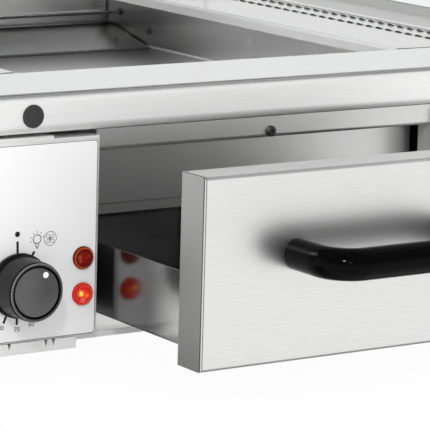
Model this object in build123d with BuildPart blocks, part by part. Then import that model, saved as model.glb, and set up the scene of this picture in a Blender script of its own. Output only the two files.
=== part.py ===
"""Hot food counter: a heated stainless base with a drawer, a warm display well and a glass hood.

Millimetres. X runs to the right as the operator sees it, +Y runs through the counter towards the
customer, +Z is up. The worktop is z = 0, and x = 0 is the middle of the counter.
"""

import os
from math import cos, radians, sin

from build123d import *

os.makedirs("parts", exist_ok=True)

# Whole counter
unit_width = 616.0
unit_depth = 560.0
sheet = 1.2
seat_gap = 0.3
bend_radius = 2.0
screw_clearance = 0.2
slide_gap = 0.5

# Levels, each above the one before
foot_height = 22.0
panel_lift = 4.0
panel_height = 127.0
rail_gap = 3.6
rail_height = 25.0
ledge_rise = 2.4

# Depths behind the face of the control panel
ledge_depth = 71.6
band_inset = 5.0
plenum_inset = 30.0
base_inset = 6.0
display_end = 462.5

# Drawer bay and drawer
bay_width = 265.0
front_side_gap = 1.5
drawer_front_height = 119.0
drawer_front_depth = 24.6
drawer_out = 117.6
tray_side_gap = 6.3
tray_lift = 10.0
tray_height = 46.2
tray_length = 380.0
handle_pitch = 124.0
handle_reach = 42.5
handle_diameter = 20.0
handle_bend = 19.0
handle_height = 67.0

# Warm plenum and display well
plenum_floor_height = 76.5
plenum_lip = 6.5
well_width = 305.0
well_floor_height = 117.5
baffle_start = 393.0
baffle_end = 454.0
baffle_rise = 12.5
air_slot = 8.0

# Slotted side plates
plate_width = 93.0
plate_flange = 8.0
slot_length = 8.0
slot_width = 3.4
slot_pitch = 12.0
slot_rows = (62.0, 82.0)
deck_step = 1.5

# Controls, measured from the right edge and the bottom edge of the control panel
panel_flange = 20.0
knob_inset = 58.0
knob_height = 37.0
knob_diameter = 36.6
knob_skirt = 41.0
knob_length = 24.0
knob_face = 31.0
lamp_inset = 11.4
lamp_heights = (27.0, 50.2)
lamp_lens = 14.6
lamp_body = 11.6
plug_inset = 48.9
plug_diameter = 14.6
shaft_diameter = 6.0
running_gap = 0.05

# Glass hood
glass = 5.0
glass_start = 84.0
pane_setback = 15.0
glass_straight = 64.0
hood_height = 316.0
canopy_depth = 246.0
canopy_height = 30.0
channel_height = 5.5
channel_wall = 1.3
glass_play = 0.3
flap_angle = 95.0
flap_drop = 312.0
flap_width = 592.0
pin_diameter = 6.0

# Fan and heater
impeller_diameter = 120.0
impeller_height = 24.0
fan_inset = 476.0
motor_diameter = 62.0
motor_height = 52.0
heater_diameter = 8.0
gland_reach = 14.0
gland_inset = 78.0
gland_height = 40.0

# Levels and places worked out from the sizes above
panel_bottom = foot_height + panel_lift
panel_top = panel_bottom + panel_height
rail_bottom = panel_top + rail_gap
ledge_front = rail_bottom + rail_height
deck = ledge_front + ledge_rise
band_deck = deck - deck_step
plenum_floor = panel_bottom + plenum_floor_height
well_floor = panel_bottom + well_floor_height
slot_bottom = well_floor + baffle_rise + sheet
slot_top = slot_bottom + air_slot
half_width = unit_width / 2
half_bay = bay_width / 2
half_well = well_width / 2
plate_edge = half_well + plate_width
glass_end = unit_depth - pane_setback
hinge_rise = 8.0
hinge_lead = 6.0
hinge_height = deck + hood_height + hinge_rise
hinge_inset = glass_start - hinge_lead

# The origin is under the middle of the resting counter, so the panel face lies this far in front
flap_reach = flap_drop * sin(radians(flap_angle)) - hinge_inset
face = (flap_reach - unit_depth - gland_reach) / 2
drawer_face = face - drawer_out
drawer_back = drawer_face + drawer_front_depth
screw_head = 2.2


def block(x, y, z, mode=Mode.ADD):
    """Add a box between two corners, each of x, y and z being a (low, high) pair."""
    with Locations(((x[0] + x[1]) / 2, (y[0] + y[1]) / 2, (z[0] + z[1]) / 2)):
        Box(x[1] - x[0], y[1] - y[0], z[1] - z[0], mode=mode)


def rod(centre, diameter, length, axis="Z", mode=Mode.ADD):
    """Add a cylinder that starts at centre and runs along the named axis."""
    turn = {"X": (0, 90, 0), "Y": (-90, 0, 0), "Z": (0, 0, 0)}[axis]
    align = (Align.CENTER, Align.CENTER, Align.MIN)
    with Locations(Location(centre, turn)):
        Cylinder(diameter / 2, length, align=align, mode=mode)


def bent_sheet(plane, points, width, bend=bend_radius, gauge=sheet):
    """A sheet folded along its middle line, pulled out square to the plane."""
    with BuildPart() as folded:
        with BuildSketch(plane):
            with BuildLine():
                FilletPolyline(*points, radius=bend)
            trace(line_width=gauge)
        extrude(amount=width)
    return folded.part


def side_x(sign, low, high):
    """The pair of x values from low to high on the left (-1) or the right (1)."""
    return (low, high) if sign > 0 else (-high, -low)


SIDES = (-1, 1)

# Feet and base
stud_diameter = 8.0
stud_length = 24.0
stud_hexagon = 7.5
hexagon_height = 5.0
foot_diameter = 38.0
foot_taper = 5.0
pad_height = 12.0
foot_inset = 46.0
front_foot = 90.0
rear_foot = 60.0
foot_places = [
    (sign * (half_width - foot_inset), face + near)
    for sign in SIDES
    for near in (front_foot, unit_depth - rear_foot)
]

with BuildPart() as feet:
    for x, y in foot_places:
        with Locations((x, y, pad_height / 2)):
            Cone(foot_diameter / 2, foot_diameter / 2 - foot_taper, pad_height)
feet.part.label = "feet"
export_step(feet.part, "parts/feet.step")

with BuildPart() as foot_studs:
    for x, y in foot_places:
        rod((x, y, pad_height), stud_diameter, stud_length)
        with BuildSketch(Plane.XY.offset(foot_height - hexagon_height)):
            with Locations((x, y)):
                RegularPolygon(stud_hexagon, 6)
        extrude(amount=hexagon_height - seat_gap)
foot_studs.part.label = "foot_studs"
export_step(foot_studs.part, "parts/foot_studs.step")

base_half = half_width - sheet - seat_gap
base_lip = 3.7
base_wall = 14.0
base_rear = face + unit_depth - sheet - seat_gap
vent_start = 306.2
vent_length = 22.0
vent_width = 4.0
vent_pitch = 24.0
vent_row_pitch = 30.0
vent_rows = 3
with BuildPart() as base_tray:
    base_top = foot_height + base_wall
    block((-base_half, base_half), (face + base_inset, base_rear), (foot_height, base_top))
    inner_y = (face + base_inset + sheet, base_rear - sheet)
    inner_z = (foot_height + sheet, base_top + sheet)
    block((sheet - base_half, base_half - sheet), inner_y, inner_z, Mode.SUBTRACT)
    lip_cut = (foot_height + base_lip, base_top + sheet)
    block((-half_width, half_width), (face, face + panel_flange + slide_gap), lip_cut, Mode.SUBTRACT)
    for x, y in foot_places:
        rod((x, y, 0), stud_diameter + screw_clearance, base_top, mode=Mode.SUBTRACT)
    vent_middle = face + vent_start + vent_length / 2 + vent_row_pitch * (vent_rows - 1) / 2
    with Locations((0, vent_middle, foot_height)):
        with GridLocations(vent_pitch, vent_row_pitch, 7, vent_rows):
            Box(vent_width, vent_length, 4 * sheet, mode=Mode.SUBTRACT)
base_tray.part.label = "base_tray"
export_step(base_tray.part, "parts/base_tray.step")

# Folded stiffening rails under the two side bays, with notches in their front webs
rail_web = 7.4
rail_end = 14.0
rail_margin = 6.0
rail_setback = 1.4
rail_reach = 58.0
notch_places = (30.3, 35.7, 62.0)
notch_half = 1.6
notch_depth = 4.6
with BuildPart() as under_rails:
    for sign in SIDES:
        span = side_x(sign, half_bay + rail_end, half_width - rail_margin)
        low = foot_height - panel_lift
        front = face + rail_setback
        back = front + rail_reach
        block(span, (front, back), (low, low + sheet))
        block(span, (front, front + sheet), (low, low + rail_web))
        block(span, (back - sheet, back), (low, foot_height))
        for inset in notch_places:
            with BuildSketch(Plane.XZ.offset(-face)):
                with Locations((sign * (half_bay + inset), low + rail_web)):
                    mouth = (notch_half, sheet)
                    Polygon((-notch_half, sheet), mouth, (0, -notch_depth), align=None)
            extrude(amount=-(rail_setback + 2 * sheet), mode=Mode.SUBTRACT)
under_rails.part.label = "under_rails"
export_step(under_rails.part, "parts/under_rails.step")

# Side casings: a wall with a flat shoulder that carries the slotted plate and the side glass
shoulder_tuck = 4.0
shoulder_start = face + ledge_depth + 2 * seat_gap
casing_setback = 0.8
rail_cap_depth = 12.6
deck_lip_height = 14.0
under_ledge = 3.0
casing_folds = []
for sign in SIDES:
    shoulder_points = [
        (sign * (plate_edge - shoulder_tuck), band_deck - sheet / 2),
        (sign * (half_width - sheet / 2), band_deck - sheet / 2),
        (sign * (half_width - sheet / 2), foot_height),
    ]
    fold_length = face + display_end - shoulder_start
    casing_folds.append(bent_sheet(Plane.XZ.offset(-shoulder_start), shoulder_points, -fold_length))
with BuildPart() as side_casings:
    for sign, fold in zip(SIDES, casing_folds):
        add(fold)
        wall = side_x(sign, half_width - sheet, half_width)
        cap_end = face + rail_cap_depth + seat_gap
        lip_front = face + ledge_depth - sheet - seat_gap
        lip_low = deck - deck_lip_height - slide_gap
        block(wall, (face + casing_setback, cap_end), (foot_height, rail_bottom - seat_gap))
        block(wall, (cap_end, shoulder_start), (foot_height, lip_low))
        block(wall, (cap_end, lip_front), (lip_low, ledge_front - under_ledge))
        block(wall, (face + display_end, face + unit_depth), (foot_height, band_deck))
side_casings.part.label = "side_casings"
export_step(side_casings.part, "parts/side_casings.step")

# Front deck: the rounded rail and the ledge behind it, one folded sheet
rail_bend = 5.0
rail_nose = 1.0
lip_reach = 11.0
plug_rise = 11.5
plug_hole = 12.0
with BuildPart() as deck_sheet:
    with BuildSketch(Plane.YZ.offset(-half_width)):
        with BuildLine():
            middle = sheet / 2
            FilletPolyline(
                (face + lip_reach, rail_bottom + middle),
                (face - rail_nose + middle, rail_bottom + middle),
                (face - rail_nose + middle, ledge_front - middle),
                (face + ledge_depth - middle, deck - middle),
                (face + ledge_depth - middle, deck - deck_lip_height),
                radius=[rail_bend, rail_bend, bend_radius],
            )
        trace(line_width=sheet)
    extrude(amount=unit_width)
with BuildPart() as front_deck:
    add(deck_sheet.part)
    for sign in SIDES:
        centre = (sign * (half_bay + plug_inset), face - 2 * rail_nose, rail_bottom + plug_rise)
        rod(centre, plug_hole, 2 * rail_nose + 2 * sheet, "Y", Mode.SUBTRACT)
front_deck.part.label = "front_deck"
export_step(front_deck.part, "parts/front_deck.step")

cap_setback = 0.4
with BuildPart() as rail_end_caps:
    for sign in SIDES:
        cap_x = side_x(sign, half_width - sheet, half_width)
        cap_y = (face + cap_setback, face + rail_cap_depth)
        block(cap_x, cap_y, (rail_bottom + sheet + seat_gap, ledge_front - 2.4 * sheet))
    caps = rail_end_caps.edges().filter_by(Axis.X).group_by(Axis.Y)[0]
    fillet(caps, rail_bend - sheet)
rail_end_caps.part.label = "rail_end_caps"
export_step(rail_end_caps.part, "parts/rail_end_caps.step")

plug_head = 1.4
plug_shank = 6.0
with BuildPart() as rail_plugs:
    for sign in SIDES:
        x = sign * (half_bay + plug_inset)
        z = rail_bottom + plug_rise
        rod((x, face - rail_nose - plug_head, z), plug_diameter, plug_head, "Y")
        rod((x, face - rail_nose, z), plug_hole - screw_clearance, plug_shank, "Y")
    rims = rail_plugs.edges().filter_by(GeomType.CIRCLE).group_by(Axis.Y)[0]
    fillet(rims, plug_head * 0.7)
rail_plugs.part.label = "rail_plugs"
export_step(rail_plugs.part, "parts/rail_plugs.step")

# Screwed strip between the rail and the drawer bay
band_gap = 0.4
band_half = half_bay - band_gap
band_lift = 116.0
band_return = 7.0
band_thread = 4.0
band_head = 7.2
band_screw_rise = 4.2
band_low = panel_bottom + band_lift
band_y = face + band_inset + sheet / 2
band_points = [
    (band_y, rail_bottom - 2 * seat_gap),
    (band_y, band_low + sheet / 2),
    (band_y + band_return, band_low + sheet / 2),
]
band_sheet = bent_sheet(Plane.YZ.offset(-band_half), band_points, 2 * band_half)
screw_height = band_low + band_screw_rise
with BuildPart() as screw_band:
    add(band_sheet)
    rod((0, face, screw_height), band_thread + screw_clearance, 2 * band_inset, "Y", Mode.SUBTRACT)
screw_band.part.label = "screw_band"
export_step(screw_band.part, "parts/screw_band.step")

with BuildPart() as band_screw:
    head = face + band_inset - screw_head
    rod((0, head, screw_height), band_head, screw_head, "Y")
    fillet(band_screw.edges().group_by(Axis.Y)[0], sheet)
    rod((0, head + screw_head, screw_height), band_thread, band_return + sheet, "Y")
    with BuildSketch(Plane.XZ.offset(-head)):
        with Locations((0, screw_height)):
            RegularPolygon(band_thread * 0.4, 6)
    extrude(amount=-screw_head * 0.6, mode=Mode.SUBTRACT)
band_screw.part.label = "band_screw"
export_step(band_screw.part, "parts/band_screw.step")

# Control panel, its foil and the blank panel of the other bay
panel_outer = half_width - sheet - seat_gap
panel_bend = 1.0
spacer_height = 1.6
spacer_inset = 32.0
spacer_margin = 8.0
spacer_span = (2.0, 14.0)
bush_diameter = 10.0
louvre_rows = 6
louvre_pitch = 11.0
louvre_length = 86.0
louvre_width = 3.4
for name, sign in (("control_panel", -1), ("blank_panel", 1)):
    with BuildPart() as panel:
        span = side_x(sign, half_bay, panel_outer)
        block(span, (face, face + panel_flange), (panel_bottom, panel_top))
        fillet(panel.edges().group_by(Axis.Y)[0], panel_bend)
        hollow = (span[0] + sheet, span[1] - sheet)
        hollow_y = (face + sheet, face + panel_flange + sheet)
        block(hollow, hollow_y, (panel_bottom + sheet, panel_top - sheet), Mode.SUBTRACT)
        spacer_x = side_x(sign, half_bay + spacer_inset, panel_outer - spacer_margin)
        spacer_y = (face + spacer_span[0], face + spacer_span[1])
        block(spacer_x, spacer_y, (panel_top, panel_top + spacer_height))
        if name == "control_panel":
            knob_x = -(half_bay + knob_inset)
            knob_z = panel_bottom + knob_height
            knob_hole = bush_diameter + screw_clearance
            rod((knob_x, face - sheet, knob_z), knob_hole, 3 * sheet, "Y", Mode.SUBTRACT)
            for height in lamp_heights:
                centre = (-(half_bay + lamp_inset), face - sheet, panel_bottom + height)
                rod(centre, lamp_body + screw_clearance, 3 * sheet, "Y", Mode.SUBTRACT)
        else:
            middle_x = (span[0] + span[1]) / 2
            for row in range(louvre_rows):
                z = (panel_bottom + panel_top) / 2 + (row - (louvre_rows - 1) / 2) * louvre_pitch
                with Locations((middle_x, face, z)):
                    Box(louvre_length, 4 * sheet, louvre_width, mode=Mode.SUBTRACT)
    panel.part.label = name
    export_step(panel.part, f"parts/{name}.step")

foil = 0.4
foil_margin = 1.7
foil_corner = 2.5
foil_drop = 0.8
with BuildPart() as panel_foil:
    foil_width = panel_outer - half_bay - 2 * foil_margin
    foil_middle = -(half_bay + panel_outer) / 2
    with BuildSketch(Plane.XZ.offset(-face)):
        with Locations((foil_middle, panel_bottom + panel_height / 2 - foil_drop)):
            RectangleRounded(foil_width, panel_height - 2 * foil_margin, foil_corner)
        with Locations((knob_x, knob_z)):
            Circle(bush_diameter * 0.7, mode=Mode.SUBTRACT)
        for height in lamp_heights:
            with Locations((-(half_bay + lamp_inset), panel_bottom + height)):
                Circle(lamp_body / 2 + seat_gap, mode=Mode.SUBTRACT)
    extrude(amount=foil)
panel_foil.part.label = "panel_foil"
export_step(panel_foil.part, "parts/panel_foil.step")

# Thermostat with its shaft, and the knob on it
switch_depth = 32.0
switch_half_width = 21.0
switch_half_height = 16.0
switch_corner = 3.0
bush_reach = 6.0
shaft_front = 20.0
shaft_rear = 14.0
with BuildPart() as thermostat:
    case_x = (knob_x - switch_half_width, knob_x + switch_half_width)
    case_y = (face + sheet + seat_gap, face + sheet + seat_gap + switch_depth)
    case_z = (knob_z - switch_half_height, knob_z + switch_half_height)
    block(case_x, case_y, case_z)
    fillet(thermostat.edges().filter_by(Axis.Y), switch_corner)
    rod((knob_x, face - bush_reach, knob_z), bush_diameter, bush_reach + 2 * sheet, "Y")
    bore = shaft_diameter + 2 * running_gap
    bore_start = face - bush_reach - sheet
    bore_length = bush_reach + sheet + shaft_rear + sheet
    rod((knob_x, bore_start, knob_z), bore, bore_length, "Y", Mode.SUBTRACT)
thermostat.part.label = "thermostat"
export_step(thermostat.part, "parts/thermostat.step")

nut_radius = 8.0
nut_height = 2.6
foil_gap = 0.1
with BuildPart() as thermostat_nut:
    with BuildSketch(Plane.XZ.offset(-(face - foil - foil_gap))):
        with Locations((knob_x, knob_z)):
            RegularPolygon(nut_radius, 6)
            Circle(bush_diameter / 2 + running_gap, mode=Mode.SUBTRACT)
    extrude(amount=nut_height)
thermostat_nut.part.label = "thermostat_nut"
export_step(thermostat_nut.part, "parts/thermostat_nut.step")

with BuildPart() as knob_shaft:
    rod((knob_x, face - shaft_front, knob_z), shaft_diameter, shaft_front + shaft_rear, "Y")
knob_shaft.part.label = "knob_shaft"
export_step(knob_shaft.part, "parts/knob_shaft.step")

knob_gap = 1.4
knob_rear = face - knob_gap
knob_tip = knob_rear - knob_length
disc_depth = 1.6
disc_sink = 0.6
skirt_edge = 3.6
skirt_end = 8.0
knob_draft = 0.6
knob_rim = 1.0
nut_pocket = 22.0
pocket_depth = 7.0
with BuildPart() as knob_body:
    with BuildSketch(Plane.YZ.offset(knob_x)):
        with BuildLine():
            Polyline(
                (knob_rear, knob_z),
                (knob_rear, knob_z + knob_skirt / 2),
                (knob_rear - skirt_edge, knob_z + knob_skirt / 2),
                (knob_rear - skirt_end, knob_z + knob_diameter / 2 + knob_draft),
                (knob_tip, knob_z + knob_diameter / 2),
                (knob_tip, knob_z + knob_face / 2),
                (knob_tip + disc_depth, knob_z + knob_face / 2),
                (knob_tip + disc_depth, knob_z),
                close=True,
            )
        make_face()
    revolve(axis=Axis((knob_x, 0, knob_z), (0, 1, 0)))
    outer = knob_body.edges().filter_by(GeomType.CIRCLE).group_by(Axis.Y)[0].sort_by(SortBy.RADIUS)[-1]
    fillet(outer, knob_rim)
    pocket_start = (knob_x, knob_rear - pocket_depth, knob_z)
    rod(pocket_start, nut_pocket, pocket_depth + sheet, "Y", Mode.SUBTRACT)
    shaft_end = (knob_x, face - shaft_front - running_gap, knob_z)
    rod(shaft_end, shaft_diameter + running_gap, knob_length, "Y", Mode.SUBTRACT)
knob_body.part.label = "knob_body"
export_step(knob_body.part, "parts/knob_body.step")

with BuildPart() as knob_disc:
    disc_place = (knob_x, knob_tip + disc_sink, knob_z)
    rod(disc_place, knob_face - 2 * seat_gap, disc_depth - disc_sink, "Y")
knob_disc.part.label = "knob_disc"
export_step(knob_disc.part, "parts/knob_disc.step")

# Two pilot lamps: a domed lens in front of a round body behind the panel
lamp_rim = 1.6
lamp_dome = 3.0
dome_inset = 1.0
dome_round = 2.2
lamp_length = 26.0
tab_gap = 2.4
tab_thick = 0.8
tab_length = 8.0
lamp_centre_x = -(half_bay + lamp_inset)
lamp_front = face - foil
for name, height in zip(("lower", "upper"), lamp_heights):
    lamp_z = panel_bottom + height
    with BuildPart() as lens:
        rod((lamp_centre_x, lamp_front - lamp_rim, lamp_z), lamp_lens, lamp_rim, "Y")
        dome_place = (lamp_centre_x, lamp_front - lamp_rim - lamp_dome, lamp_z)
        rod(dome_place, lamp_lens - 2 * dome_inset, lamp_dome, "Y")
        fillet(lens.edges().filter_by(GeomType.CIRCLE).group_by(Axis.Y)[0], dome_round)
    lens.part.label = f"lamp_lens_{name}"
    export_step(lens.part, f"parts/lamp_lens_{name}.step")

with BuildPart() as lamp_bodies:
    for height in lamp_heights:
        rod((lamp_centre_x, lamp_front, panel_bottom + height), lamp_body, lamp_length, "Y")
        tab_start = lamp_front + lamp_length - tab_thick
        for offset in (-tab_gap, tab_gap):
            tab_x = lamp_centre_x + offset
            tab_z = (panel_bottom + height - tab_gap, panel_bottom + height + tab_gap)
            tab_span = (tab_x - tab_thick / 2, tab_x + tab_thick / 2)
            block(tab_span, (tab_start, tab_start + tab_length), tab_z)
lamp_bodies.part.label = "lamp_bodies"
export_step(lamp_bodies.part, "parts/lamp_bodies.step")

# Drawer bay: two partitions with the runners that carry the drawer
partition_x = half_bay + slide_gap
partition_start = face + panel_flange + slide_gap
partition_low = foot_height + sheet
partition_top = plenum_floor - sheet - seat_gap
partition_flange = 14.0
with BuildPart() as partitions:
    for sign in SIDES:
        span = (partition_start, face + display_end)
        wall = side_x(sign, partition_x, partition_x + sheet)
        block(wall, span, (partition_low, partition_top))
        foot_flange = side_x(sign, partition_x, partition_x + partition_flange)
        block(foot_flange, span, (partition_low, partition_low + sheet))
        block(foot_flange, span, (partition_top - sheet, partition_top))
partitions.part.label = "partitions"
export_step(partitions.part, "parts/partitions.step")

half_tray = half_bay - tray_side_gap
runner_lift = 14.0
runner_rise = 20.0
runner_start = 4.0
runner_spare = 24.0
runner_low = panel_bottom + tray_lift + runner_lift
runner_top = runner_low + runner_rise
glide_height = runner_rise - 2 * sheet - 2 * seat_gap
glide_length = 88.0
glide_inset = 4.0
with BuildPart() as runners:
    for sign in SIDES:
        web = side_x(sign, partition_x - sheet, partition_x)
        span = (partition_start + runner_start, face + tray_length + runner_spare)
        block(web, span, (runner_low, runner_top))
        flange = side_x(sign, half_tray + slide_gap, partition_x)
        block(flange, span, (runner_low, runner_low + sheet))
        block(flange, span, (runner_top - sheet, runner_top))
runners.part.label = "runners"
export_step(runners.part, "parts/runners.step")

tray_rear = drawer_back + tray_length
with BuildPart() as tray_glides:
    for sign in SIDES:
        glide_x = side_x(sign, half_tray, partition_x - sheet - seat_gap)
        rear = tray_rear - glide_inset
        low = runner_low + sheet + seat_gap
        block(glide_x, (rear - glide_length, rear), (low, low + glide_height))
tray_glides.part.label = "tray_glides"
export_step(tray_glides.part, "parts/tray_glides.step")

# Drawer: folded front, liner, tray and bow handle
half_front = half_bay - front_side_gap
front_bottom = panel_bottom
front_top = panel_bottom + drawer_front_height
handle_z = front_bottom + handle_height
handle_screw = 6.0
corner_slit = 0.5
slit_inset = 1.6
slit_depth = 3.0
with BuildPart() as drawer_front:
    block((-half_front, half_front), (drawer_face, drawer_back), (front_bottom, front_top))
    fillet(drawer_front.edges().group_by(Axis.Y)[0], bend_radius)
    hollow_x = (sheet - half_front, half_front - sheet)
    hollow_z = (front_bottom + sheet, front_top - sheet)
    block(hollow_x, (drawer_face + sheet, drawer_back + sheet), hollow_z, Mode.SUBTRACT)
    for sign in SIDES:
        centre = (sign * handle_pitch / 2, drawer_face - sheet, handle_z)
        rod(centre, handle_screw + screw_clearance, 3 * sheet, "Y", Mode.SUBTRACT)
        slit_x = sign * (half_front - slit_inset)
        slit = (slit_x - corner_slit / 2, slit_x + corner_slit / 2)
        slit_y = (drawer_face + slit_depth, drawer_back + sheet)
        block(slit, slit_y, (front_top - slit_depth, front_top + sheet), Mode.SUBTRACT)
drawer_front.part.label = "drawer_front"
export_step(drawer_front.part, "parts/drawer_front.step")

tray_bottom = panel_bottom + tray_lift
rivet_places = (-90.0, -30.0, 30.0, 90.0)
rivet_height = tray_bottom + tray_height / 2
rivet_shank = 3.2
rivet_head = 6.0
rivet_rise = 1.4
liner_gap = 0.2
with BuildPart() as drawer_liner:
    liner_x = (liner_gap + sheet - half_front, half_front - sheet - liner_gap)
    liner_z = (front_bottom + sheet + liner_gap, front_top - sheet - liner_gap)
    block(liner_x, (drawer_back - sheet, drawer_back), liner_z)
    for x in rivet_places:
        rod((x, drawer_back - 2 * sheet, rivet_height), rivet_shank, 3 * sheet, "Y", Mode.SUBTRACT)
drawer_liner.part.label = "drawer_liner"
export_step(drawer_liner.part, "parts/drawer_liner.step")

with BuildPart() as drawer_tray:
    tray_top = tray_bottom + tray_height
    block((-half_tray, half_tray), (drawer_back, tray_rear), (tray_bottom, tray_top))
    fillet(drawer_tray.edges().filter_by(Axis.Y).group_by(Axis.Z)[0], bend_radius)
    inner_x = (sheet - half_tray, half_tray - sheet)
    inner_y = (drawer_back + sheet, tray_rear - sheet)
    block(inner_x, inner_y, (tray_bottom + sheet, tray_top + sheet), Mode.SUBTRACT)
    for x in rivet_places:
        rod((x, drawer_back - sheet, rivet_height), rivet_shank, 3 * sheet, "Y", Mode.SUBTRACT)
drawer_tray.part.label = "drawer_tray"
export_step(drawer_tray.part, "parts/drawer_tray.step")

grip_y = drawer_face - handle_reach
screw_depth = 12.0
screw_bore_depth = 14.0
screw_head_width = 11.0
screw_head_height = 4.0
with BuildPart() as drawer_handle:
    with BuildLine():
        FilletPolyline(
            (-handle_pitch / 2, drawer_face, handle_z),
            (-handle_pitch / 2, grip_y, handle_z),
            (handle_pitch / 2, grip_y, handle_z),
            (handle_pitch / 2, drawer_face, handle_z),
            radius=handle_bend,
        )
    with BuildSketch(Plane((-handle_pitch / 2, drawer_face, handle_z), z_dir=(0, -1, 0))):
        Circle(handle_diameter / 2)
    sweep()
    for sign in SIDES:
        centre = (sign * handle_pitch / 2, drawer_face - screw_bore_depth, handle_z)
        rod(centre, handle_screw, screw_bore_depth + sheet, "Y", Mode.SUBTRACT)
drawer_handle.part.label = "drawer_handle"
export_step(drawer_handle.part, "parts/drawer_handle.step")

with BuildPart() as handle_screws:
    for sign in SIDES:
        centre = (sign * handle_pitch / 2, drawer_face - screw_depth, handle_z)
        rod(centre, handle_screw, screw_depth + sheet, "Y")
        head_place = (centre[0], drawer_face + sheet, handle_z)
        rod(head_place, screw_head_width, screw_head_height, "Y")
handle_screws.part.label = "handle_screws"
export_step(handle_screws.part, "parts/handle_screws.step")

with BuildPart() as tray_rivets:
    for x in rivet_places:
        rod((x, drawer_back - sheet - rivet_rise, rivet_height), rivet_head, rivet_rise, "Y")
        rod((x, drawer_back - sheet, rivet_height), rivet_shank, 2 * sheet, "Y")
        rod((x, drawer_back + sheet, rivet_height), rivet_head, rivet_rise, "Y")
tray_rivets.part.label = "tray_rivets"
export_step(tray_rivets.part, "parts/tray_rivets.step")

# Plenum between the drawer bay and the display well, with holes for the two ends of the heater
heater_lift = 20.0
heater_runs = 6
heater_gap = 46.0
heater_start = 110.0
plenum_spare = 4.0
fan_eye = 22.0
heater_z = plenum_floor + heater_lift
heater_near = face + heater_start
heater_far = heater_near + (heater_runs - 1) * heater_gap
plenum_half = half_well + sheet
plenum_rear = face + unit_depth - sheet - plenum_spare
plenum_wall_top = well_floor - sheet - seat_gap
with BuildPart() as plenum_tray:
    span_y = (face + plenum_inset, plenum_rear)
    block((-plenum_half, plenum_half), span_y, (plenum_floor - sheet, plenum_wall_top))
    inner_x = (sheet - plenum_half, plenum_half - sheet)
    block(inner_x, (span_y[0] - sheet, span_y[1] - sheet), (plenum_floor, well_floor), Mode.SUBTRACT)
    lip = (plenum_floor - plenum_lip, plenum_floor)
    block((-band_half, band_half), (span_y[0], span_y[0] + sheet), lip)
    eye = (0, face + fan_inset, plenum_floor - 2 * sheet)
    rod(eye, fan_eye, 3 * sheet, mode=Mode.SUBTRACT)
    for y in (heater_near, heater_far):
        hole = heater_diameter + screw_clearance
        rod((-plenum_half - sheet, y, heater_z), hole, 3 * sheet, "X", Mode.SUBTRACT)
plenum_tray.part.label = "plenum_tray"
export_step(plenum_tray.part, "parts/plenum_tray.step")

wall_gap = 0.2
wall_y = face + plenum_inset - sheet / 2 - wall_gap
wall_top = rail_bottom - sheet / 2 - slide_gap
wall_front = band_y + sheet + wall_gap
plenum_points = [
    (wall_y, plenum_floor + slide_gap),
    (wall_y, wall_top),
    (wall_front, wall_top),
    (wall_front, band_low + 2 * sheet),
]
plenum_sheet = bent_sheet(Plane.YZ.offset(-band_half), plenum_points, 2 * band_half)
with BuildPart() as plenum_wall:
    add(plenum_sheet)
    thread_hole = (0, face + band_inset, screw_height)
    rod(thread_hole, band_thread + screw_clearance, 4 * sheet, "Y", Mode.SUBTRACT)
plenum_wall.part.label = "plenum_wall"
export_step(plenum_wall.part, "parts/plenum_wall.step")

# Tubular heater lying in the plenum, with its clips and end collars
heater_half = 122.0
heater_tail = 14.0
clip_place = 70.0
clip_width = 10.0
clip_gauge = 1.6
clip_gap = 0.1
collar_diameter = 16.0
collar_length = 4.0
heater_exit = -(plenum_half + heater_tail)
heater_points = [(heater_exit, heater_near, heater_z)]
for run in range(heater_runs - 1):
    turn_x = heater_half if run % 2 == 0 else -heater_half
    for step in (run, run + 1):
        heater_points.append((turn_x, heater_near + step * heater_gap, heater_z))
heater_points.append((heater_exit, heater_far, heater_z))
with BuildPart() as heating_element:
    with BuildLine():
        FilletPolyline(*heater_points, radius=heater_gap * 0.48)
    with BuildSketch(Plane(heater_points[0], z_dir=(1, 0, 0))):
        Circle(heater_diameter / 2)
    sweep()
heating_element.part.label = "heating_element"
export_step(heating_element.part, "parts/heating_element.step")

with BuildPart() as heater_mounts:
    for run in range(heater_runs):
        y = heater_near + run * heater_gap
        clip_y = (y - clip_gauge / 2, y + clip_gauge / 2)
        clip_z = (plenum_floor, heater_z - heater_diameter / 2 - clip_gap)
        for x in (-clip_place, clip_place):
            block((x - clip_width / 2, x + clip_width / 2), clip_y, clip_z)
    for y in (heater_near, heater_far):
        collar = (-plenum_half - collar_length, y, heater_z)
        rod(collar, collar_diameter, collar_length, "X")
        opening = (-plenum_half - collar_length - sheet, y, heater_z)
        collar_bore = collar_length + 2 * sheet
        rod(opening, heater_diameter + clip_gap, collar_bore, "X", Mode.SUBTRACT)
heater_mounts.part.label = "heater_mounts"
export_step(heater_mounts.part, "parts/heater_mounts.step")

# Warm air fan: the motor hangs under the plenum floor and its impeller turns above it
fan_y = face + fan_inset
shaft_drop = 30.0
impeller_lift = 6.0
motor_round = 4.0
motor_gap = 0.1
shaft_low = plenum_floor - shaft_drop
impeller_low = plenum_floor + impeller_lift
with BuildPart() as fan_motor:
    motor_top = plenum_floor - sheet - motor_gap
    rod((0, fan_y, motor_top - motor_height), motor_diameter, motor_height)
    fillet(fan_motor.edges().filter_by(GeomType.CIRCLE).group_by(Axis.Z)[0], motor_round)
    bearing = (0, fan_y, shaft_low - slide_gap)
    rod(bearing, shaft_diameter + 2 * running_gap, motor_height, mode=Mode.SUBTRACT)
fan_motor.part.label = "fan_motor"
export_step(fan_motor.part, "parts/fan_motor.step")

with BuildPart() as fan_shaft:
    rod((0, fan_y, shaft_low), shaft_diameter, impeller_low + impeller_height - shaft_low)
fan_shaft.part.label = "fan_shaft"
export_step(fan_shaft.part, "parts/fan_shaft.step")

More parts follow.
